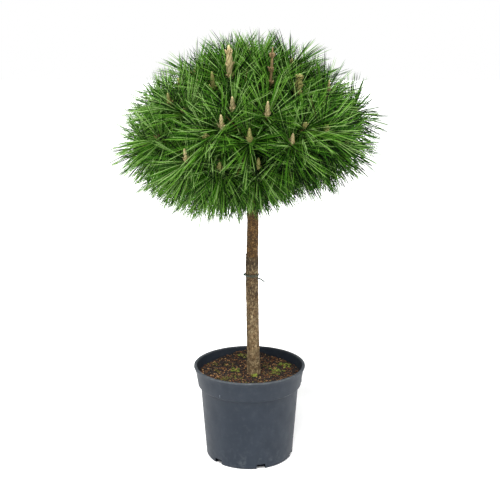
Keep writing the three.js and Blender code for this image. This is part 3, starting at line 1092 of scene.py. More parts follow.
    def greens(self) -> bpy.types.Mesh:
        """Rosettes of moss and seedlings, leaf by leaf.

        Returns:
            The joined mesh, in metres.
        """
        bm = bmesh.new()
        bmesh.ops.create_uvsphere(bm, u_segments=6, v_segments=4, radius=0.5)
        bmesh.ops.transform(
            bm,
            matrix=Matrix.Translation((0.5, 0, 0)) @ Matrix.Rotation(math.pi / 2, 4, "Y"),
            verts=bm.verts[:],
        )
        scatter = Scatter(bm)
        rng = np.random.default_rng(23)
        for spot in self.spots:
            moss = spot.growth is Growth.MOSS
            for _ in range(round(spot.rosettes * self.lushness)):
                x = spot.x + rng.normal(0, spot.spread * 0.7)
                y = spot.y + rng.normal(0, spot.spread * 0.7)
                base = Vector((x, y, self.surface_at(x, y) + 0.4))
                for leaf in range(9 if moss else 7):
                    turn = leaf * GOLDEN_ANGLE + rng.uniform(-0.4, 0.4)
                    rise = rng.uniform(0.35, 1.25) if moss else rng.uniform(0.2, 0.8)
                    length = rng.uniform(2.0, 4.2) if moss else rng.uniform(3.2, 6.2)
                    width = length * (0.26 if moss else 0.34)
                    spin = Quaternion((0, 0, 1), turn) @ Quaternion((0, 1, 0), -rise)
                    shape = Vector((length, width, length * 0.12)) * MM
                    tone = int(rng.integers(0, 2)) + (0 if moss else 2)
                    scatter.add(Matrix.LocRotScale(base * MM, spin, shape), tone)
        return scatter.build("soil_greens")

    def build(self) -> None:
        """Makes the soil's pieces and dresses them."""
        show(self.ball(), [Earth().build()], ["soil"])
        crumbs = [
            Crumb("peat_crumb", srgb(14, 9, 5), srgb(32, 19, 10)),
            Crumb("bark_chip", srgb(100, 54, 30), srgb(56, 33, 19)),
            Crumb("wood_fibre", srgb(152, 106, 60), srgb(84, 54, 30)),
            Crumb("pale_chip", srgb(192, 148, 96), srgb(122, 86, 52)),
            Crumb("grit", srgb(180, 158, 122), srgb(122, 102, 74), 0.7),
        ]
        show(self.bits(), [crumb.build() for crumb in crumbs])
        leaves = [
            WeedLeaf("moss_olive", srgb(92, 94, 32), srgb(60, 62, 22)),
            WeedLeaf("moss_bright", srgb(132, 130, 48), srgb(84, 84, 30)),
            WeedLeaf("seedling_green", srgb(130, 150, 42), srgb(92, 110, 30)),
            WeedLeaf("seedling_pale", srgb(164, 174, 72), srgb(116, 126, 42)),
        ]
        show(self.greens(), [leaf.build() for leaf in leaves])


# ---------------------------------------------------------------- stem and tie


@dataclass
class ClearStem:
    """The clear stem: its line, girth, scaly bark, graft and pruning stubs."""

    ground: float = 198.0
    top: float = 655.0
    foot: float = 192.0
    line: tuple[tuple[float, float], ...] = (
        (0.0, 10.0),
        (0.3, 7.1),
        (0.55, 5.6),
        (0.8, 7.5),
        (1.0, 6.0),
    )
    foot_radius: float = 14.3
    flare: float = 2.6
    flare_height: float = 22.0
    graft_height: float = 479.0
    graft_swell: float = 1.1
    upper_radius: float = 13.5
    tip_radius: float = 12.6
    sides: int = 96
    rings: int = 440
    # Each pair holds for the old bark below the graft and for the young bark above it.
    scale_size: tuple[float, float] = (3.8, 3.2)
    scale_girth: tuple[float, float] = (14.0, 11.0)
    scale_squeeze: tuple[float, float] = (0.62, 1.25)
    relief: tuple[float, float] = (0.9, 0.55)
    stray_seed: int = 29
    stubs: tuple[tuple[float, float], ...] = ((479, 186), (356, 20), (300, 215), (540, 80), (402, 120))

    def offset_at(self, height: float) -> float:
        """How far the stem's middle stands to +X of the pot's axis.

        Args:
            height: Height in millimetres.

        Returns:
            The offset.
        """
        share = min(max((height - self.ground) / (self.top - self.ground), 0.0), 1.0)
        places, offsets = zip(*self.line)
        i = min(int(np.searchsorted(places, share, side="right")) - 1, len(places) - 2)
        slopes = np.gradient(offsets, places)
        span = places[i + 1] - places[i]
        t = (share - places[i]) / span
        return float(
            (2 * t**3 - 3 * t**2 + 1) * offsets[i]
            + (t**3 - 2 * t**2 + t) * span * slopes[i]
            + (3 * t**2 - 2 * t**3) * offsets[i + 1]
            + (t**3 - t**2) * span * slopes[i + 1]
        )

    def radius_at(self, height: float) -> float:
        """The plain radius under the bark's relief.

        Args:
            height: Height in millimetres.

        Returns:
            The radius.
        """
        above = max(height - self.ground, 0.0)
        flare = self.flare * math.exp(-above / self.flare_height)
        swollen = self.upper_radius + self.graft_swell
        taper = lerp(self.foot_radius, swollen, above / (self.graft_height - self.ground))
        share = (height - self.graft_height) / (self.top - self.graft_height)
        slim = lerp(self.upper_radius, self.tip_radius, share)
        return lerp(taper + flare, slim, smooth(self.graft_height - 2, self.graft_height + 5, height))

    def bark_at(self, turn: float, height: float) -> tuple[float, float, float]:
        """The bark at a point.

        Args:
            turn: Bearing round the stem, in radians.
            height: Height in millimetres.

        Returns:
            How far the bark stands out, how whole its scale is there, and the scale's tone.
        """
        above = smooth(self.graft_height, self.graft_height + 9, height)
        size = lerp(*self.scale_size, above)
        girth = lerp(*self.scale_girth, above)
        squeezed = height * lerp(*self.scale_squeeze, above)
        spot = Vector((girth * math.cos(turn), girth * math.sin(turn), squeezed))
        stray = noise.noise_vector(spot / 2.3) * 1.3
        distances, points = noise.voronoi((spot + stray) / size)
        plate = min((distances[1] - distances[0]) * 2.2, 1.0)
        tone = 0.5 + 0.5 * noise.noise(points[0] * 7.3)
        broad = noise.noise(Vector((spot.x, spot.y, height)) / 15)
        rough = noise.noise(spot / 1.7) + 0.6 * noise.noise(spot / 0.8)
        depth = lerp(*self.relief, above)
        stand = depth * (smooth(0.0, 0.4, plate) - 0.8) + 0.5 * broad + 0.3 * rough
        return stand + 0.9 * (tone - 0.5) * depth, plate, tone

    def trunk(self) -> bpy.types.Mesh:
        """The stem's closed skin with the bark's relief.

        Returns:
            The mesh, in metres, with how whole each scale is and its tone.
        """
        # Noise vectors are offset by the clock until a seed is set.
        noise.seed_set(self.stray_seed)
        rows = [(1.0, lerp(self.foot, self.top, i / self.rings)) for i in range(self.rings + 1)]
        bm = spun([(0, self.foot), *rows, (0, self.top)], self.sides)
        plate_layer = bm.verts.layers.float.new("plate")
        tone_layer = bm.verts.layers.float.new("tone")
        for vert in bm.verts:
            height = vert.co.z / MM
            level = vert.co.xy.length / MM
            turn = math.atan2(vert.co.y, vert.co.x)
            stand, plate, tone = self.bark_at(turn, height)
            vert[plate_layer] = plate
            vert[tone_layer] = tone
            radius = (self.radius_at(height) + stand) * level
            vert.co.x = (self.offset_at(height) + radius * math.cos(turn)) * MM
            vert.co.y = radius * math.sin(turn) * MM
        return mesh_of(bm, "stem_trunk")

    def knobs(self) -> bpy.types.Mesh:
        """Short stubs where shoots were pruned off.

        Returns:
            The mesh, in metres.
        """
        bm = bmesh.new()
        for height, bearing in self.stubs:
            out = leaning(math.radians(70), math.radians(bearing))
            root = Vector((self.offset_at(height), 0, height)) + out * (self.radius_at(height) - 2.5)
            points = [root, root + out * 2.4, root + out * 3.6, root + out * 4.3]
            sweep(bm, stations_along(points, [3.0, 2.6, 2.1, 1.2]), 9)
        for vert in bm.verts:
            vert.co += vert.normal * noise.noise(vert.co / (1.4 * MM)) * 0.4 * MM
        bmesh.ops.recalc_face_normals(bm, faces=bm.faces[:])
        return mesh_of(bm, "stem_stubs")

    def build(self) -> None:
        """Makes the stem's pieces and dresses them."""
        show(self.trunk(), [StemBark().build()], ["stem"])
        dark = YoungBark("stub_bark", srgb(64, 50, 34), srgb(34, 26, 18)).build()
        show(self.knobs(), [dark])


@dataclass
class PlantTie:
    """The tie round the stem: two close turns, a knot at the left and a cut tail at the right."""

    stem: ClearStem
    height: float = 437.0
    wire: float = 0.65
    pitch: float = 3.2
    tail: float = 17.0
    tail_bearing: float = -0.35
    tail_rise: float = -7.5
    tail_drop_deg: float = 31.0
    # The lean and size of each loop, then the rise and reach of each short end.
    loops: tuple[tuple[float, float], ...] = ((0.5, 2.5), (-0.7, 2.2), (1.6, 1.9))
    ends: tuple[tuple[float, float], ...] = ((2.4, 5.0), (-2.0, 4.0))

    def _around(self, turn: float, rise: float, clear: float) -> Vector:
        """A point on the tie's way round the stem.

        Args:
            turn: Bearing round the stem, in radians.
            rise: Height above the tie's own.
            clear: How far it stands off the plain stem.

        Returns:
            The point, in millimetres.
        """
        height = self.height + rise
        radius = self.stem.radius_at(height) + clear
        x = self.stem.offset_at(height) + radius * math.cos(turn)
        return Vector((x, radius * math.sin(turn), height))

    def twine(self) -> bpy.types.Mesh:
        """The turns and the tail as closed tubes.

        Returns:
            The mesh, in metres.
        """
        bm = bmesh.new()
        count = 72
        turns = [
            self._around(
                math.pi + 4 * math.pi * i / count,
                self.pitch * (i / count - 0.5) * 1.6 + 0.5 * math.sin(9.4 * math.pi * i / count),
                self.wire + 0.5,
            )
            for i in range(count + 1)
        ]
        sweep(bm, stations_along(turns, [self.wire] * len(turns)), 8)
        start = self._around(self.tail_bearing, self.tail_rise, self.wire + 0.2)
        drop = math.radians(self.tail_drop_deg)
        way = Vector((math.cos(drop), -0.1, -math.sin(drop)))
        tail = [
            start + way * self.tail * s + Vector((0, 0, 1.2 * math.sin(math.pi * s)))
            for s in (0, 0.2, 0.4, 0.6, 0.8, 1.0)
        ]
        sweep(bm, stations_along(tail, [1.3, 1.6, 1.6, 1.6, 1.6, 1.4]), 8)
        return mesh_of(bm, "tie_twine")

    def knot(self) -> bpy.types.Mesh:
        """The knot's loops and its two short ends.

        Returns:
            The mesh, in metres.
        """
        bm = bmesh.new()
        middle = self._around(math.pi, 0, self.wire + 2.0)
        for lean, size in self.loops:
            loop = []
            for i in range(17):
                around = 2 * math.pi * i / 16
                flat = Vector((0.7 * math.sin(around), math.cos(around), 0.8 * math.sin(around)))
                loop.append(middle + Matrix.Rotation(lean, 3, "X") @ (flat * size))
            sweep(bm, stations_along(loop, [0.95] * len(loop)), 7)
        for rise, reach in self.ends:
            end = middle + Vector((-reach * 0.7, 0.5, rise))
            sweep(bm, stations_along([middle, middle.lerp(end, 0.5), end], [1.0, 0.95, 0.7]), 7)
        return mesh_of(bm, "tie_knot")

    def build(self) -> None:
        """Makes the tie and dresses it."""
        worn = TieTwine("tie_worn", srgb(62, 84, 74), srgb(84, 88, 74))
        fresh = TieTwine("tie_fresh", srgb(26, 70, 60), srgb(58, 88, 74))
        show(self.twine(), [worn.build()], ["stem_tie"])
        show(self.knot(), [fresh.build()])


# ---------------------------------------------------------------- the plan of the head


@dataclass(frozen=True)
class RingOfMasses:
    """A ring of like masses round the head."""

    name: str
    count: int
    hub_radius: float
    hub_height: float
    turn_deg: float
    bough_height: float


@dataclass(frozen=True)
class Mass:
    """One mass of foliage: its name, its hub and the line of its bough from the stem."""

    name: str
    hub: Vector
    bough: tuple[Vector, Vector, Vector]


class Layer(Enum):
    """Which set of shoots one belongs to."""

    MAIN = "main"
    LEADING = "leading"
    FINE = "fine"
    INNER = "inner"
    SKIRT = "skirt"


class BudKind(Enum):
    """How a bud looks."""

    BUFF = 0
    GREEN = 1
    TAN = 2


@dataclass(frozen=True)
class LeadingBud:
    """A shoot that stands out: its azimuth and polar angle, its bud's length and look, its reach."""

    azimuth: float
    polar: float
    length: float
    kind: BudKind = BudKind.BUFF
    depth: float = 1.0


@dataclass(frozen=True)
class Shoot:
    """One leafy shoot: where it starts, which way it and its bud point, and its mass."""

    mass: int
    start: Vector
    base: Vector
    axis: Vector
    bud_axis: Vector
    bud: float
    polar: float
    seed: int
    layer: Layer
    kind: BudKind


def along_bend(start: Vector, bend: Vector, end: Vector, share: float) -> Vector:
    """A point on the bend that runs from start to end and leans towards a third point."""
    return start.lerp(bend, share).lerp(bend.lerp(end, share), share)


@dataclass
class HeadPlan:
    """Sets out the masses and every shoot of the head by the golden angle, in its seeded order."""

    stem: ClearStem
    rings: tuple[RingOfMasses, ...] = (
        RingOfMasses("lower", 7, 134, 706, 10, 596),
        RingOfMasses("upper", 6, 124, 808, 33, 618),
        RingOfMasses("top", 1, 0, 862, 0, 655),
    )
    bough_share: float = 0.56
    bough_top_share: float = 0.3
    bough_sag: float = 0.16
    bough_stagger: float = 9.0
    centre_height: float = 788.0
    radius: float = 215.0
    half_height: float = 127.0
    lowest_polar_deg: float = 152.0
    main_shoots: int = 68
    seed: int = 21
    polar_stray: float = 0.06
    azimuth_stray: float = 0.12
    sink: float = 0.06
    lean: float = 0.62
    bud_lean: float = 0.4
    tall_bud: float = 20.0
    main_bud: tuple[float, float] = (12.0, 24.0)
    fine_bud: tuple[float, float] = (10.0, 24.0)
    top_polar: float = 0.9
    top_bud_more: float = 14.0
    fork_share: float = 0.62
    core_length: float = 38.0
    core_radius: float = 3.6
    leading_clear: float = 50.0
    fill_turn: float = 1.9
    fill_sink: float = 0.16
    fine_shoots: int = 190
    fine_clear: float = 55.0
    inner_shoots: int = 100
    inner_clear: float = 48.0
    inner_depth: float = 0.74
    skirt_shoots: int = 9
    skirt_polar_deg: float = 160.0
    shoulder: float = 0.15
    shoulder_polar_deg: float = 46.0
    shoulder_width_deg: float = 22.0
    belly: float = 0.16
    belly_from_deg: float = 60.0
    belly_full_deg: float = 108.0
    fringe_shift: float = 0.13
    fringe_from_deg: float = 98.0
    fringe_full_deg: float = 135.0
    crest: float = 0.06
    crest_width_deg: float = 14.0
    notch: float = 0.11
    notch_from_deg: float = 108.0
    notch_full_deg: float = 126.0
    notch_turn_deg: float = -34.0
    leading: tuple[LeadingBud, ...] = (
        LeadingBud(-110, 36, 68, depth=1.05),
        LeadingBud(-71, 44, 78, BudKind.TAN, 1.05),
        LeadingBud(-52, 57, 45, BudKind.GREEN),
        LeadingBud(-8, 58, 28, depth=1.05),
        LeadingBud(-124, 47, 36, BudKind.GREEN),
        LeadingBud(-99, 75, 30),
        LeadingBud(-103, 90, 30),
        LeadingBud(-81, 80, 32),
        LeadingBud(-90, 99, 28, BudKind.GREEN),
        LeadingBud(-70, 102, 24),
        LeadingBud(-122, 116, 30, depth=1.04),
        LeadingBud(-85, 125, 26, BudKind.GREEN, 1.06),
        LeadingBud(-106, 124, 24, BudKind.GREEN, 1.06),
        LeadingBud(-63, 90, 16, BudKind.GREEN),
        LeadingBud(-51, 93, 16, BudKind.GREEN),
        LeadingBud(-110, 97, 14, BudKind.GREEN),
        LeadingBud(-176, 54, 30, BudKind.GREEN),
        LeadingBud(-146, 71, 26, BudKind.GREEN),
        LeadingBud(178, 35, 16, BudKind.GREEN, 1.08),
        LeadingBud(-2, 24, 16, BudKind.GREEN, 1.1),
        LeadingBud(150, 9, 14, BudKind.GREEN, 1.08),
        LeadingBud(4, 44, 14, BudKind.GREEN, 1.06),
        LeadingBud(-3, 82, 14, BudKind.GREEN, 1.02),
    )
    masses: list[Mass] = field(init=False)
    shoots: list[Shoot] = field(init=False)

    def __post_init__(self) -> None:
        """Sets out the masses, then the shoots."""
        self.masses = self._masses()
        self.shoots = self._main()
        self._add_leading()
        self._fill(Layer.FINE, self.fine_shoots, self.fine_clear, 1.0)
        self._fill(Layer.INNER, self.inner_shoots, self.inner_clear, self.inner_depth)
        self._add_skirt()

    def _masses(self) -> list[Mass]:
        """Every mass with its bough.

        Returns:
            The masses, ring by ring.
        """
        masses = []
        for ring in self.rings:
            upright = ring.count == 1
            for i in range(ring.count):
                azimuth = math.radians(ring.turn_deg + 360 * i / ring.count)
                hub = leaning(math.pi / 2, azimuth) * ring.hub_radius
                hub.z = ring.hub_height
                height = min(ring.bough_height + (self.bough_stagger if i % 2 else 0), self.stem.top)
                root = Vector((self.stem.offset_at(height), 0, height))
                tip = root.lerp(hub, self.bough_top_share if upright else self.bough_share)
                middle = root.lerp(tip, 0.5)
                if not upright:
                    middle.z -= self.bough_sag * (tip - root).length
                name = ring.name if upright else f"{ring.name}_{i + 1}"
                masses.append(Mass(name, hub, (root, middle, tip)))
        return masses

    def _nearest_mass(self, point: Vector) -> int:
        """The number of the mass whose hub is nearest to a point."""
        return min(range(len(self.masses)), key=lambda i: (self.masses[i].hub - point).length)

    def _depth_in_cell(self, point: Vector, mass: int) -> float:
        """How far inside its mass's own space a point lies.

        Args:
            point: The point.
            mass: The number of the mass.

        Returns:
            Its distance from the nearest wall of that space.
        """
        hub = self.masses[mass].hub
        return min(
            (hub.lerp(other.hub, 0.5) - point).dot((other.hub - hub).normalized())
            for i, other in enumerate(self.masses)
            if i != mass
        )

    def _even_polar_angles(self, count: int) -> list[float]:
        """Polar angles that share the shell's area evenly between shoots, from the top down.

        Args:
            count: How many shoots there are.

        Returns:
            The angles, in radians.
        """
        steps = 400
        lowest = math.radians(self.lowest_polar_deg)
        polar = lowest * (np.arange(steps) + 0.5) / steps
        slope = np.hypot(self.radius * np.cos(polar), self.half_height * np.sin(polar))
        areas = np.concatenate([[0.0], np.cumsum(np.sin(polar) * slope)])
        wanted = areas[-1] * (np.arange(count) + 0.5) / count
        return [float(lowest * np.argmax(areas >= w) / steps) for w in wanted]

    def _reach(self, polar: float, azimuth: float) -> float:
        """How far the head reaches there, as a share of its plain shell.

        Args:
            polar: Angle from the vertical, in radians.
            azimuth: Bearing, in radians.

        Returns:
            The share.
        """
        degrees = math.degrees(polar)
        off = (degrees - self.shoulder_polar_deg) / self.shoulder_width_deg
        low = smooth(self.belly_from_deg, self.belly_full_deg, degrees)
        fringe = self.fringe_shift * smooth(self.fringe_from_deg, self.fringe_full_deg, degrees)
        neck = self.shoulder * math.exp(-off * off)
        crest = self.crest * math.exp(-((degrees / self.crest_width_deg) ** 2))
        facing = (1 + math.cos(azimuth - math.radians(self.notch_turn_deg))) / 2
        notch = self.notch * smooth(self.notch_from_deg, self.notch_full_deg, degrees) * facing
        return 1 - neck - crest + self.belly * low - fringe * math.cos(azimuth) - notch

    def _on_shell(self, polar: float, azimuth: float, depth: float) -> Vector:
        """A point on the shell of bud feet, or a share of the way out to it.

        Args:
            polar: Angle from the vertical, in radians.
            azimuth: Bearing, in radians.
            depth: The share of the way out.

        Returns:
            The point, in millimetres.
        """
        out = leaning(polar, azimuth)
        share = depth * self._reach(polar, azimuth)
        size = Vector((self.radius, self.radius, self.half_height)) * share
        return Vector((out.x * size.x, out.y * size.y, out.z * size.z + self.centre_height))

    def _shoot(
        self,
        polar: float,
        azimuth: float,
        depth: float,
        bud: float,
        seed: int,
        layer: Layer,
        kind: BudKind | None = None,
    ) -> Shoot:
        """One shoot that ends at a point of the shell.

        Args:
            polar: Angle from the vertical, in radians.
            azimuth: Bearing, in radians.
            depth: Share of the shell's size at which it ends.
            bud: Length of its bud.
            seed: Seed of its needles.
            layer: The set it belongs to; a main one grows straight from its mass's hub.
            kind: How its bud looks; without it, the seed deals one.

        Returns:
            The shoot.
        """
        place = self._on_shell(polar, azimuth, depth)
        axis = leaning(self.lean * polar, azimuth)
        mass = self._nearest_mass(place)
        base = place - axis * self.core_length
        hub = self.masses[mass].hub
        if layer is Layer.MAIN:
            for _ in range(12):
                if self._depth_in_cell(base, mass) >= self.core_radius + 1:
                    break
                base = base.lerp(hub, 0.06)
        start = hub if layer is Layer.MAIN else self._fork_for(base, hub)
        upright = 0.5 if bud > self.tall_bud else 1
        bud_axis = leaning(self.bud_lean * polar * upright, azimuth)
        look = kind or list(BudKind)[seed * 7 % 5 % 3]
        return Shoot(mass, start, base, axis, bud_axis, bud, polar, seed, layer, look)

    def _fork_for(self, base: Vector, hub: Vector) -> Vector:
        """Where a finer shoot leaves the nearest main one.

        Args:
            base: Where its needles begin.
            hub: The hub of its mass.

        Returns:
            The fork, or the hub where that is nearer.
        """
        mains = [shoot for shoot in self.shoots if shoot.layer is Layer.MAIN]
        near = min(mains, key=lambda shoot: (shoot.base - base).length)
        fork = near.start.lerp(near.base, self.fork_share)
        return fork if (fork - base).length < (hub - base).length else hub

    def _end(self, shoot: Shoot) -> Vector:
        """The point where a shoot's bud stands."""
        return shoot.base + shoot.axis * self.core_length

    def _main(self) -> list[Shoot]:
        """The main shoots, the same as the solids have.

        Returns:
            The shoots in their seeded order.
        """
        series = SeededSeries(self.seed)
        shoots = []
        for k, even in enumerate(self._even_polar_angles(self.main_shoots)):
            polar = even + (2 * series() - 1) * self.polar_stray
            azimuth = k * GOLDEN_ANGLE + (2 * series() - 1) * self.azimuth_stray
            depth = 1 - self.sink * series()
            bud = lerp(*self.main_bud, ((k * 7) % 11) / 11)
            shoots.append(self._shoot(polar, azimuth, depth, bud, self.seed + k + 1, Layer.MAIN))
        return shoots

    def _add_leading(self) -> None:
        """Shoots with the buds that stand out. A main shoot close to one gives way to it."""
        leaders = []
        for i, bud in enumerate(self.leading):
            turn = math.radians(bud.azimuth)
            angle = math.radians(bud.polar)
            seed = 500 + i
            leaders.append(
                self._shoot(angle, turn, bud.depth, bud.length, seed, Layer.LEADING, bud.kind)
            )
        ends = [self._end(leader) for leader in leaders]
        clears = [self.leading_clear + 0.2 * leader.bud for leader in leaders]
        kept = [
            shoot
            for shoot in self.shoots
            if all((self._end(shoot) - end).length > clear for end, clear in zip(ends, clears))
        ]
        self.shoots = [*kept, *leaders]

    def _add_skirt(self) -> None:
        """A ring of low shoots round the stem, whose needles hide where the boughs part."""
        for i in range(self.skirt_shoots):
            turn = 2 * math.pi * i / self.skirt_shoots
            polar = math.radians(self.skirt_polar_deg - 6 * (i % 2))
            self.shoots.append(self._shoot(polar, turn, 0.9, 10, 700 + i, Layer.SKIRT))

    def _fill(self, layer: Layer, candidates: int, clear: float, depth: float) -> None:
        """More shoots wherever a shell still has room between those before.

        Args:
            layer: The set they belong to.
            candidates: How many places are tried.
            clear: How far each stays from every other shoot's end.
            depth: The share of the shell's size at which the furthest of them end.
        """
        series = SeededSeries(self.seed + candidates)
        ends = [self._end(shoot) for shoot in self.shoots]
        for k, even in enumerate(self._even_polar_angles(candidates)):
            polar = even + (2 * series() - 1) * self.polar_stray
            azimuth = self.fill_turn + k * GOLDEN_ANGLE + (2 * series() - 1) * self.azimuth_stray
            share = depth * (1 - self.fill_sink * series())
            end = self._on_shell(polar, azimuth, share)
            if min((end - other).length for other in ends) < clear:
                continue
            ends.append(end)
            bud = lerp(*self.fine_bud, series())
            if polar < self.top_polar:
                bud += self.top_bud_more * series()
            seed = 1000 * (1 + candidates) + k
            self.shoots.append(self._shoot(polar, azimuth, share, bud, seed, layer))


# ---------------------------------------------------------------- wood inside the head


@dataclass
class Limbs:
    """The boughs from the stem to each hub, and the twigs from the hubs to the shoots."""

    plan: HeadPlan
    bough_root: float = 4.2
    bough_tip: float = 3.2
    twig_root: float = 2.5
    twig_tip: float = 1.9
    bend_reach: float = 0.3
    bend_share: float = 0.25

    def _bough_points(self, mass: Mass) -> list[Vector]:
        """Points from the stem along the bough and on to its hub.

        Args:
            mass: The mass that the bough carries.

        Returns:
            The points, in millimetres.
        """
        root, middle, tip = mass.bough
        points = [along_bend(root, middle, tip, i / 7) for i in range(8)]
        heading = (tip - middle).normalized()
        bend = tip + heading * (mass.hub - tip).length / 2
        points += [along_bend(tip, bend, mass.hub, i / 6) for i in range(1, 7)]
        return points

    def boughs(self) -> bpy.types.Mesh:
        """All boughs, each a tapering limb with rough bark and a burr at its hub.

        Returns:
            The mesh, in metres.
        """
        bm = bmesh.new()
        for mass in self.plan.masses:
            points = self._bough_points(mass)
            last = len(points) - 1
            radii = [lerp(self.bough_root, self.bough_tip, i / last) for i in range(last + 1)]
            radii[0] = self.bough_root * 1.25
            sweep(bm, stations_along(points, radii), 12)
            burr = bmesh.ops.create_icosphere(bm, subdivisions=2, radius=5.2 * MM)
            bmesh.ops.translate(bm, verts=burr["verts"], vec=mass.hub * MM)
        bmesh.ops.subdivide_edges(bm, edges=bm.edges[:], cuts=1, use_grid_fill=True)
        bm.normal_update()
        for vert in bm.verts:
            rough = noise.noise(vert.co / (3.4 * MM)) + 0.6 * noise.noise(vert.co / (1.5 * MM))
            vert.co += vert.normal * rough * 0.4 * MM
        return mesh_of(bm, "head_boughs")

    def twig_points(self, shoot: Shoot) -> list[Vector]:
        """Points from a shoot's start to its base and on to its bud.

        Args:
            shoot: The shoot.

        Returns:
            The points, in millimetres.
        """
        reach = (shoot.base - shoot.start).length
        bend = (shoot.base - shoot.axis * self.bend_reach * reach).lerp(shoot.start, self.bend_share)
        points = [along_bend(shoot.start, bend, shoot.base, i / 5) for i in range(6)]
        core = self.plan.core_length
        return [*points, shoot.base + shoot.axis * core * 0.5, shoot.base + shoot.axis * core]

    def twigs(self) -> bpy.types.Mesh:
        """All twigs, joined.

        Returns:
            The mesh, in metres.
        """
        bm = bmesh.new()
        for shoot in self.plan.shoots:
            points = self.twig_points(shoot)
            last = len(points) - 1
            root = self.twig_root * (1 if shoot.layer is Layer.MAIN else 0.8)
            radii = [lerp(root, self.twig_tip, i / last) for i in range(last + 1)]
            sweep(bm, stations_along(points, radii), 7)
        return mesh_of(bm, "head_twigs")

    def build(self) -> None:
        """Makes the limbs and dresses them."""
        bark = YoungBark().build()
        names = [f"bough_{mass.name}" for mass in self.plan.masses]
        show(self.boughs(), [bark], names)
        fresh = YoungBark("twig_bark", srgb(112, 90, 48), srgb(66, 54, 28)).build()
        show(self.twigs(), [fresh])


# ---------------------------------------------------------------- needles


@dataclass
class Needles:
    """The needles of every shoot, in pairs set round it by the golden angle."""

    plan: HeadPlan
    pairs: int = 185
    inner_pairs: int = 110
    length: float = 92.0
    spread: float = 0.36
    rear_deg: float = 110.0
    front_deg: float = 36.0
    front_top_deg: float = 27.0
    rear_reach: float = 0.45
    stray_deg: float = 4.5
    bearing_stray: float = 0.12
    crowding: float = 1.15
    fork_deg: float = 2.0
    fork_range: tuple[float, float] = (0.4, 1.4)
    top_shorter: float = 0.16
    droop: float = 0.08
    bow: float = 0.04
    bow_range: tuple[float, float] = (-0.4, 1.6)
    half_width: float = 0.62
    foot: float = 2.0
    # A needle's green is a number from 0, the deepest, to 5, the palest; 6 is straw.
    tone_middle: float = 2.2
    # Painted shade: how much darker the inner shoots' needles are dealt.
    painted_inner_shade: float = 2.2
    # Painted light: the head's top a little darker and its bottom a little lighter.
    painted_top_light: float = -0.05
    # Painted shade: each spray's rear needles are dealt darker greens than its front ones, up to a share
    # of the way along.
    painted_rear_shade: float = 1.8
    painted_shade_until: float = 0.65
    shoot_stray: float = 0.15
    tone_stray: float = 2.1
    tone_stray_inner: float = 1.1
    straw_share: float = 0.002
    straw_share_inner: float = 0.05
    # Painted light and shade: shoots that point left are dealt lighter greens, shoots that point right
    # darker.
    painted_left_light: float = 0.85
    front_rise_deg: float = 12.5
    shown_bud: float = 15.5
    bud_clear: float = 5.5
    own_clear: float = 0.6
    # The deepest green stands mostly for painted shade inside the head, and the palest partly for painted
    # glints.
    greens: tuple[NeedleGreen, ...] = (
        NeedleGreen("needle_deep_shade", srgb(5, 14, 3)),
        NeedleGreen("needle_dark", srgb(21, 48, 9)),
        NeedleGreen("needle_mid", srgb(41, 82, 16)),
        NeedleGreen("needle_fresh", srgb(68, 118, 28)),
        NeedleGreen("needle_light", srgb(102, 150, 52)),
        NeedleGreen("needle_pale_glint", srgb(138, 174, 98)),
        NeedleGreen("needle_straw", srgb(84, 64, 38)),
    )
    # Shares of its length at which a needle has its rings, and its girth there.
    ring_shares: tuple[float, ...] = (0.0, 0.45, 0.85)
    ring_girths: tuple[float, ...] = (0.85, 1.0, 0.95)

    def _lines(self, shoot: Shoot, rng: np.random.Generator) -> tuple[np.ndarray, ...]:
        """Where a shoot's needles run.

        Args:
            shoot: The shoot.
            rng: Its own random numbers.

        Returns:
            For each needle its foot, its direction and its length.
        """
        count = self.inner_pairs if shoot.layer is Layer.INNER else self.pairs
        share = (np.arange(count) + rng.random(count)) / count
        bearing = np.arange(count) * GOLDEN_ANGLE + rng.normal(0, self.bearing_stray, count)
        stray = np.radians(self.stray_deg)
        front = lerp(self.front_top_deg, self.front_deg, smooth(0.3, 1.5, shoot.polar))
        front = max(front, self.front_deg if shoot.layer is Layer.LEADING else 0)
        lean = np.radians(lerp(self.rear_deg, front, share**self.crowding))
        lean = lean + rng.normal(0, stray, count)
        axis = np.array(shoot.axis)
        across = np.array(shoot.axis.orthogonal().normalized())
        third = np.cross(axis, across)
        ring = np.cos(bearing)[:, None] * across + np.sin(bearing)[:, None] * third
        way = np.cos(lean)[:, None] * axis + np.sin(lean)[:, None] * ring
        along = lerp(-self.rear_reach, 1.0, share) * self.plan.core_length
        foot = np.array(shoot.base) + along[:, None] * axis + ring * self.foot
        aside = np.cross(way, rng.normal(0, 1, (count, 3)))
        aside /= np.linalg.norm(aside, axis=1)[:, None]
        fork = np.radians(self.fork_deg) * rng.uniform(*self.fork_range, count)[:, None]
        ways = np.concatenate([way + aside * fork, way - aside * fork])
        ways /= np.linalg.norm(ways, axis=1)[:, None]
        lengths = self.length * (1 + rng.uniform(-0.5, 0.5, count) * self.spread)
        lengths = np.concatenate([lengths, lengths * rng.uniform(0.94, 1.0, count)])
        lengths *= 1 - self.top_shorter * smooth_array(0.85, 1.0, np.tile(share, 2))
        return np.tile(foot, (2, 1)), ways, lengths

    def _corners(self, shoot: Shoot, rng: np.random.Generator) -> np.ndarray:
        """The corners of each of a shoot's needles.

        Args:
            shoot: The shoot.
            rng: Its own random numbers.

        Returns:
            For each needle its corners ring by ring and then its tip, in millimetres.
        """
        feet, ways, lengths = self._lines(shoot, rng)
        level = np.hypot(ways[:, 0], ways[:, 1])
        down = np.zeros_like(ways)
        down[:, 2] = -self.droop * level * lengths
        bend = np.tile(rng.uniform(*self.bow_range, (len(lengths) // 2, 1)), (2, 1))
        forward = np.array(shoot.axis) * (self.bow * lengths)[:, None] * bend

        def point(share: float) -> np.ndarray:
            """The middle of every needle at a share of its length."""
            run = ways * (lengths * share)[:, None]
            return feet + run + (down + forward) * share**2

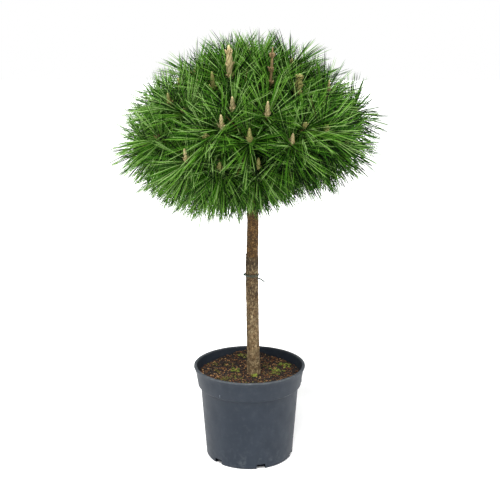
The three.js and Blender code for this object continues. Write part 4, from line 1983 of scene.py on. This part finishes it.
        side = np.cross(ways, rng.normal(0, 1, ways.shape))
        side /= np.linalg.norm(side, axis=1)[:, None]
        other = np.cross(ways, side)
        rows = []
        for share, girth in zip(self.ring_shares, self.ring_girths):
            middle = point(share)
            for corner in range(3):
                turn = 2 * math.pi * corner / 3
                out = side * math.cos(turn) + other * math.sin(turn)
                rows.append(middle + out * self.half_width * girth)
        rows.append(point(1.0))
        return np.stack(rows, axis=1)

    def _tones(self, shoot: Shoot, count: int, rng: np.random.Generator) -> np.ndarray:
        """The green dealt to each of a shoot's needles.

        Args:
            shoot: The shoot.
            count: How many needles it has.
            rng: Its own random numbers.

        Returns:
            The number of each needle's green.
        """
        inner = shoot.layer is Layer.INNER
        share = np.arange(count) % (count // 2) / (count // 2)
        # Painted light: the head's top a little darker and its bottom a little lighter.
        middle = self.tone_middle + self.painted_top_light * math.cos(shoot.polar)
        # Each shoot strays at random; the inner shoots are set darker as painted shade.
        middle += rng.normal(0, self.shoot_stray) - (self.painted_inner_shade if inner else 0)
        # Painted light and shade: shoots that point left lighter, shoots that point right darker.
        middle -= self.painted_left_light * shoot.axis.x
        # Painted shade: each spray's rear needles darker than its front ones.
        middle = middle + self.painted_rear_shade * (np.minimum(share, self.painted_shade_until) - 0.5)
        stray = self.tone_stray_inner if inner else self.tone_stray
        tones = np.clip(np.rint(rng.normal(middle, stray, count)), 0, 5)
        straw = self.straw_share_inner if inner else self.straw_share
        tones[rng.random(count) < straw] = 6
        return tones.astype(int)

    def _in_the_way(self, shoot: Shoot, corners: np.ndarray) -> np.ndarray:
        """Finds the needles that would hide a leading bud from the front.

        Args:
            shoot: The shoot whose needles they are.
            corners: The corners of each needle.

        Returns:
            For each needle, whether it runs in front of such a bud.
        """
        points = corners[:, (0, 3, 6, 9)]
        points = np.concatenate([points, (points[:, 1:] + points[:, :-1]) / 2], axis=1)
        front = np.array(leaning(math.radians(90 - self.front_rise_deg), -math.pi / 2))
        above = np.cross(front, (-1.0, 0.0, 0.0))
        hidden = np.zeros(len(corners), dtype=bool)
        for leader in self.plan.shoots:
            if leader.layer is not Layer.LEADING or leader.bud < self.shown_bud:
                continue
            foot = leader.base + leader.axis * self.plan.core_length
            away = points - np.array(foot + leader.bud_axis * leader.bud * 0.5)
            rise = np.maximum(np.abs(away @ above) - leader.bud * 0.5, 0)
            clear = self.bud_clear * (self.own_clear if leader is shoot else 1)
            near = np.hypot(away[..., 0], rise) < clear
            hidden |= np.any(near & (away @ front > 0), axis=1)
        return hidden

    def spray_mesh(self, name: str, shoots: Sequence[Shoot]) -> bpy.types.Mesh:
        """The needles of one mass, joined.

        Args:
            name: The mesh's name.
            shoots: The shoots of the mass.

        Returns:
            The mesh, in metres.
        """
        blocks, tones = [], []
        for shoot in shoots:
            rng = np.random.default_rng(shoot.seed)
            corners = self._corners(shoot, rng)
            kept = ~self._in_the_way(shoot, corners)
            blocks.append(corners[kept])
            tones.append(self._tones(shoot, len(corners), rng)[kept])
        corners = np.concatenate(blocks)
        count, each = corners.shape[:2]
        last = each - 4
        quads = [
            (r + q, r + (q + 1) % 3, r + 3 + (q + 1) % 3, r + 3 + q)
            for r in range(0, last, 3)
            for q in range(3)
        ]
        tips = [(last + q, last + (q + 1) % 3, last + 3) for q in range(3)]
        faces = [*quads, *tips, (2, 1, 0)]
        pattern = np.array([i for face in faces for i in face])
        sizes = np.array([len(face) for face in faces])
        mesh = bpy.data.meshes.new(name)
        mesh.vertices.add(count * each)
        mesh.vertices.foreach_set("co", (corners * MM).ravel())
        mesh.loops.add(count * len(pattern))
        loops = (np.arange(count)[:, None] * each + pattern).ravel()
        mesh.loops.foreach_set("vertex_index", loops)
        mesh.polygons.add(count * len(faces))
        starts = np.concatenate([[0], np.cumsum(np.tile(sizes, count))[:-1]])
        mesh.polygons.foreach_set("loop_start", starts)
        mesh.polygons.foreach_set("material_index", np.repeat(np.concatenate(tones), len(faces)))
        mesh.polygons.foreach_set("use_smooth", np.ones(count * len(faces), dtype=bool))
        mesh.update(calc_edges=True)
        mesh.validate()
        return mesh

    def build(self) -> None:
        """Makes one piece of needles for each mass and dresses it."""
        greens = [green.build() for green in self.greens]
        for number, mass in enumerate(self.plan.masses):
            own = [shoot for shoot in self.plan.shoots if shoot.mass == number]
            mesh = self.spray_mesh(f"needles_{mass.name}", own)
            show(mesh, greens, [f"foliage_{mass.name}"])


# ---------------------------------------------------------------- buds


@dataclass
class Buds:
    """The upright scaly buds at the shoots' ends, with smaller ones round their feet."""

    plan: HeadPlan
    radius: float = 4.5
    tall_from: float = 40.0
    tall_girth: float = 1.55
    stalk_girth: float = 0.6
    whorls: tuple[float, ...] = (0.0, 0.34, 0.72)
    side_girth: float = 2.5
    side_length: tuple[float, float] = (9.0, 14.0)
    side_lean: tuple[float, float] = (0.25, 0.6)
    side_stray: float = 0.3
    rng: np.random.Generator = field(default_factory=lambda: np.random.default_rng(31))

    @staticmethod
    def template(sides: int, rings: int) -> bmesh.types.BMesh:
        """A bud of unit girth and length along +Z, its scales standing out of it.

        Args:
            sides: How many corners a ring has.
            rings: How many steps it has along its length.

        Returns:
            The bmesh, with how far each corner's scale stands out as its "scale".
        """
        bm = bmesh.new()
        shares = [i / rings for i in range(rings + 1)]
        girths = [math.sin(math.pi * lerp(0.22, 0.98, s)) ** 0.6 for s in shares]
        points = [Vector((0, 0, s)) / MM for s in shares]
        sweep(bm, stations_along(points, [g / MM for g in girths]), sides)
        layer = bm.verts.layers.float.new("scale")
        for vert in bm.verts:
            ring = round(vert.co.z * rings)
            turn = math.atan2(vert.co.y, vert.co.x)
            lift = 0.5 + 0.5 * math.cos(5 * turn + ring * 2.2)
            vert[layer] = lift
            stand = 1 + 0.26 * (lift - 0.4)
            vert.co.x *= stand
            vert.co.y *= stand
            vert.co.z += 0.035 * (lift - 0.5)
        return bm

    def _whorl(self, small: Scatter, shoot: Shoot, foot: Vector, count: int, girth: float) -> None:
        """A ring of small buds that lean out from one height.

        Args:
            small: What collects the small buds.
            shoot: The shoot whose bud they stand round.
            foot: The middle of the ring.
            count: How many there are.
            girth: The radius of the bud in the middle.
        """
        turn = shoot.bud_axis.to_track_quat("Z", "Y")
        for i in range(count):
            bearing = 2 * math.pi * i / count + self.rng.uniform(-self.side_stray, self.side_stray)
            across = Vector((-math.sin(bearing), math.cos(bearing), 0))
            lean = Quaternion(across, self.rng.uniform(*self.side_lean))
            length = self.rng.uniform(*self.side_length)
            out = turn @ Vector((math.cos(bearing), math.sin(bearing), 0)) * girth * 0.6
            side = Vector((self.side_girth, self.side_girth, length)) * MM
            matrix = Matrix.LocRotScale((foot + out) * MM, turn @ lean, side)
            small.add(matrix, shoot.kind.value)

    def scatters(self) -> tuple[Scatter, Scatter]:
        """The main buds and the small ones, each with its places.

        Returns:
            The main buds, then the small ones.
        """
        main, small = Scatter(self.template(10, 13)), Scatter(self.template(7, 6))
        for shoot in self.plan.shoots:
            if shoot.layer in (Layer.INNER, Layer.SKIRT):
                continue
            foot = shoot.base + shoot.axis * (self.plan.core_length - 2)
            tall = shoot.bud > self.tall_from
            girth = self.radius * lerp(0.8, 1.05, min(shoot.bud / 30, 1))
            if tall:
                stalky = shoot.kind is BudKind.TAN
                girth = self.radius * (self.stalk_girth if stalky else self.tall_girth)
            turn = shoot.bud_axis.to_track_quat("Z", "Y")
            shape = Vector((girth, girth, shoot.bud)) * MM
            main.add(Matrix.LocRotScale(foot * MM, turn, shape), shoot.kind.value)
            for share in self.whorls if tall else self.whorls[:1]:
                count = 6 if tall else int(self.rng.integers(3, 6))
                rise = foot + shoot.bud_axis * shoot.bud * share
                self._whorl(small, shoot, rise, count, girth * (1 - 0.3 * share))
        return main, small

    def build(self) -> None:
        """Makes the buds and dresses them."""
        finishes = [
            BudScale("bud_buff", srgb(212, 196, 144), srgb(134, 108, 64)),
            BudScale("bud_green", srgb(172, 168, 100), srgb(100, 94, 44)),
            BudScale("bud_tan", srgb(156, 132, 90), srgb(88, 64, 38)),
        ]
        scales = [finish.build() for finish in finishes]
        main, small = self.scatters()
        show(main.build("head_buds"), scales)
        show(small.build("head_side_buds"), scales)


# ---------------------------------------------------------------- studio


@dataclass
class Studio:
    """The pale floor, the soft light and the camera."""

    distance: float = 1.9
    camera_height: float = 0.9178
    pitch_deg: float = 12.559
    focal_px: float = 850.8
    picture_px: float = 500.0
    aside: float = 0.0011
    shine: float = 0.48
    seen: float = 1.0

    def floor(self) -> None:
        """A wide round floor under the pot."""
        bm = bmesh.new()
        bmesh.ops.create_circle(bm, cap_ends=True, segments=96, radius=40.0)
        mesh = mesh_of(bm, "studio_floor")
        mesh.materials.append(FloorPaint().build())
        floor = bpy.data.objects.new("studio_floor", mesh)
        bpy.context.scene.collection.objects.link(floor)

    def lamp(self, name: str, bearing_deg: float, rise_deg: float, soft_deg: float, power: float) -> None:
        """A wide soft light from far away.

        Args:
            name: Its name.
            bearing_deg: Where it comes from, round the plant.
            rise_deg: How high it comes from.
            soft_deg: How wide it looks from the plant.
            power: Its strength.
        """
        light = bpy.data.lights.new(name, "SUN")
        light.energy = power
        light.angle = math.radians(soft_deg)
        lamp = bpy.data.objects.new(name, light)
        source = leaning(math.radians(90 - rise_deg), math.radians(bearing_deg))
        lamp.matrix_world = Matrix.LocRotScale(source * 3, source.to_track_quat("Z", "Y"), None)
        bpy.context.scene.collection.objects.link(lamp)

    def surroundings(self) -> None:
        """A white room that is seen brighter than it shines."""
        graph = Graph("studio_white", world=True)
        white = (1.0, 1.0, 1.0, 1.0)
        shine, seen = (
            graph.node("ShaderNodeBackground", values={"Color": white, "Strength": strength})
            for strength in (self.shine, self.seen)
        )
        rays = graph.node("ShaderNodeLightPath", out="Is Camera Ray")
        mix = graph.node("ShaderNodeMixShader", values={0: rays, 1: shine, 2: seen})
        graph.node("ShaderNodeOutputWorld", values={"Surface": mix}, out=None)
        bpy.context.scene.world = graph.owner

    def camera(self) -> None:
        """The camera at the viewing angle."""
        data = bpy.data.cameras.new("studio_camera")
        data.sensor_width = 36
        data.lens = 36 * self.focal_px / self.picture_px
        camera = bpy.data.objects.new("studio_camera", data)
        camera.location = (self.aside, -self.distance, self.camera_height)
        camera.rotation_euler = (math.radians(90 - self.pitch_deg), 0, 0)
        bpy.context.scene.collection.objects.link(camera)
        bpy.context.scene.camera = camera

    def build(self) -> None:
        """Sets up the studio."""
        bpy.context.scene.view_settings.view_transform = "Standard"
        self.floor()
        self.surroundings()
        self.lamp("key_light", bearing_deg=-112, rise_deg=62, soft_deg=36, power=5.0)
        self.lamp("fill_light", bearing_deg=-45, rise_deg=42, soft_deg=70, power=1.2)
        self.camera()


# ---------------------------------------------------------------- the whole


def main() -> None:
    """Builds every piece in order."""
    logging.basicConfig(level=logging.INFO, format="%(name)s %(message)s")
    Studio().build()
    pot = NurseryPot()
    pot.build()
    RootBall(pot).build()
    stem = ClearStem()
    stem.build()
    PlantTie(stem).build()
    plan = HeadPlan(stem)
    LOG.info("%d shoots", len(plan.shoots))
    Limbs(plan).build()
    Needles(plan).build()
    Buds(plan).build()
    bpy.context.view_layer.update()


if __name__ == "__main__":
    main()
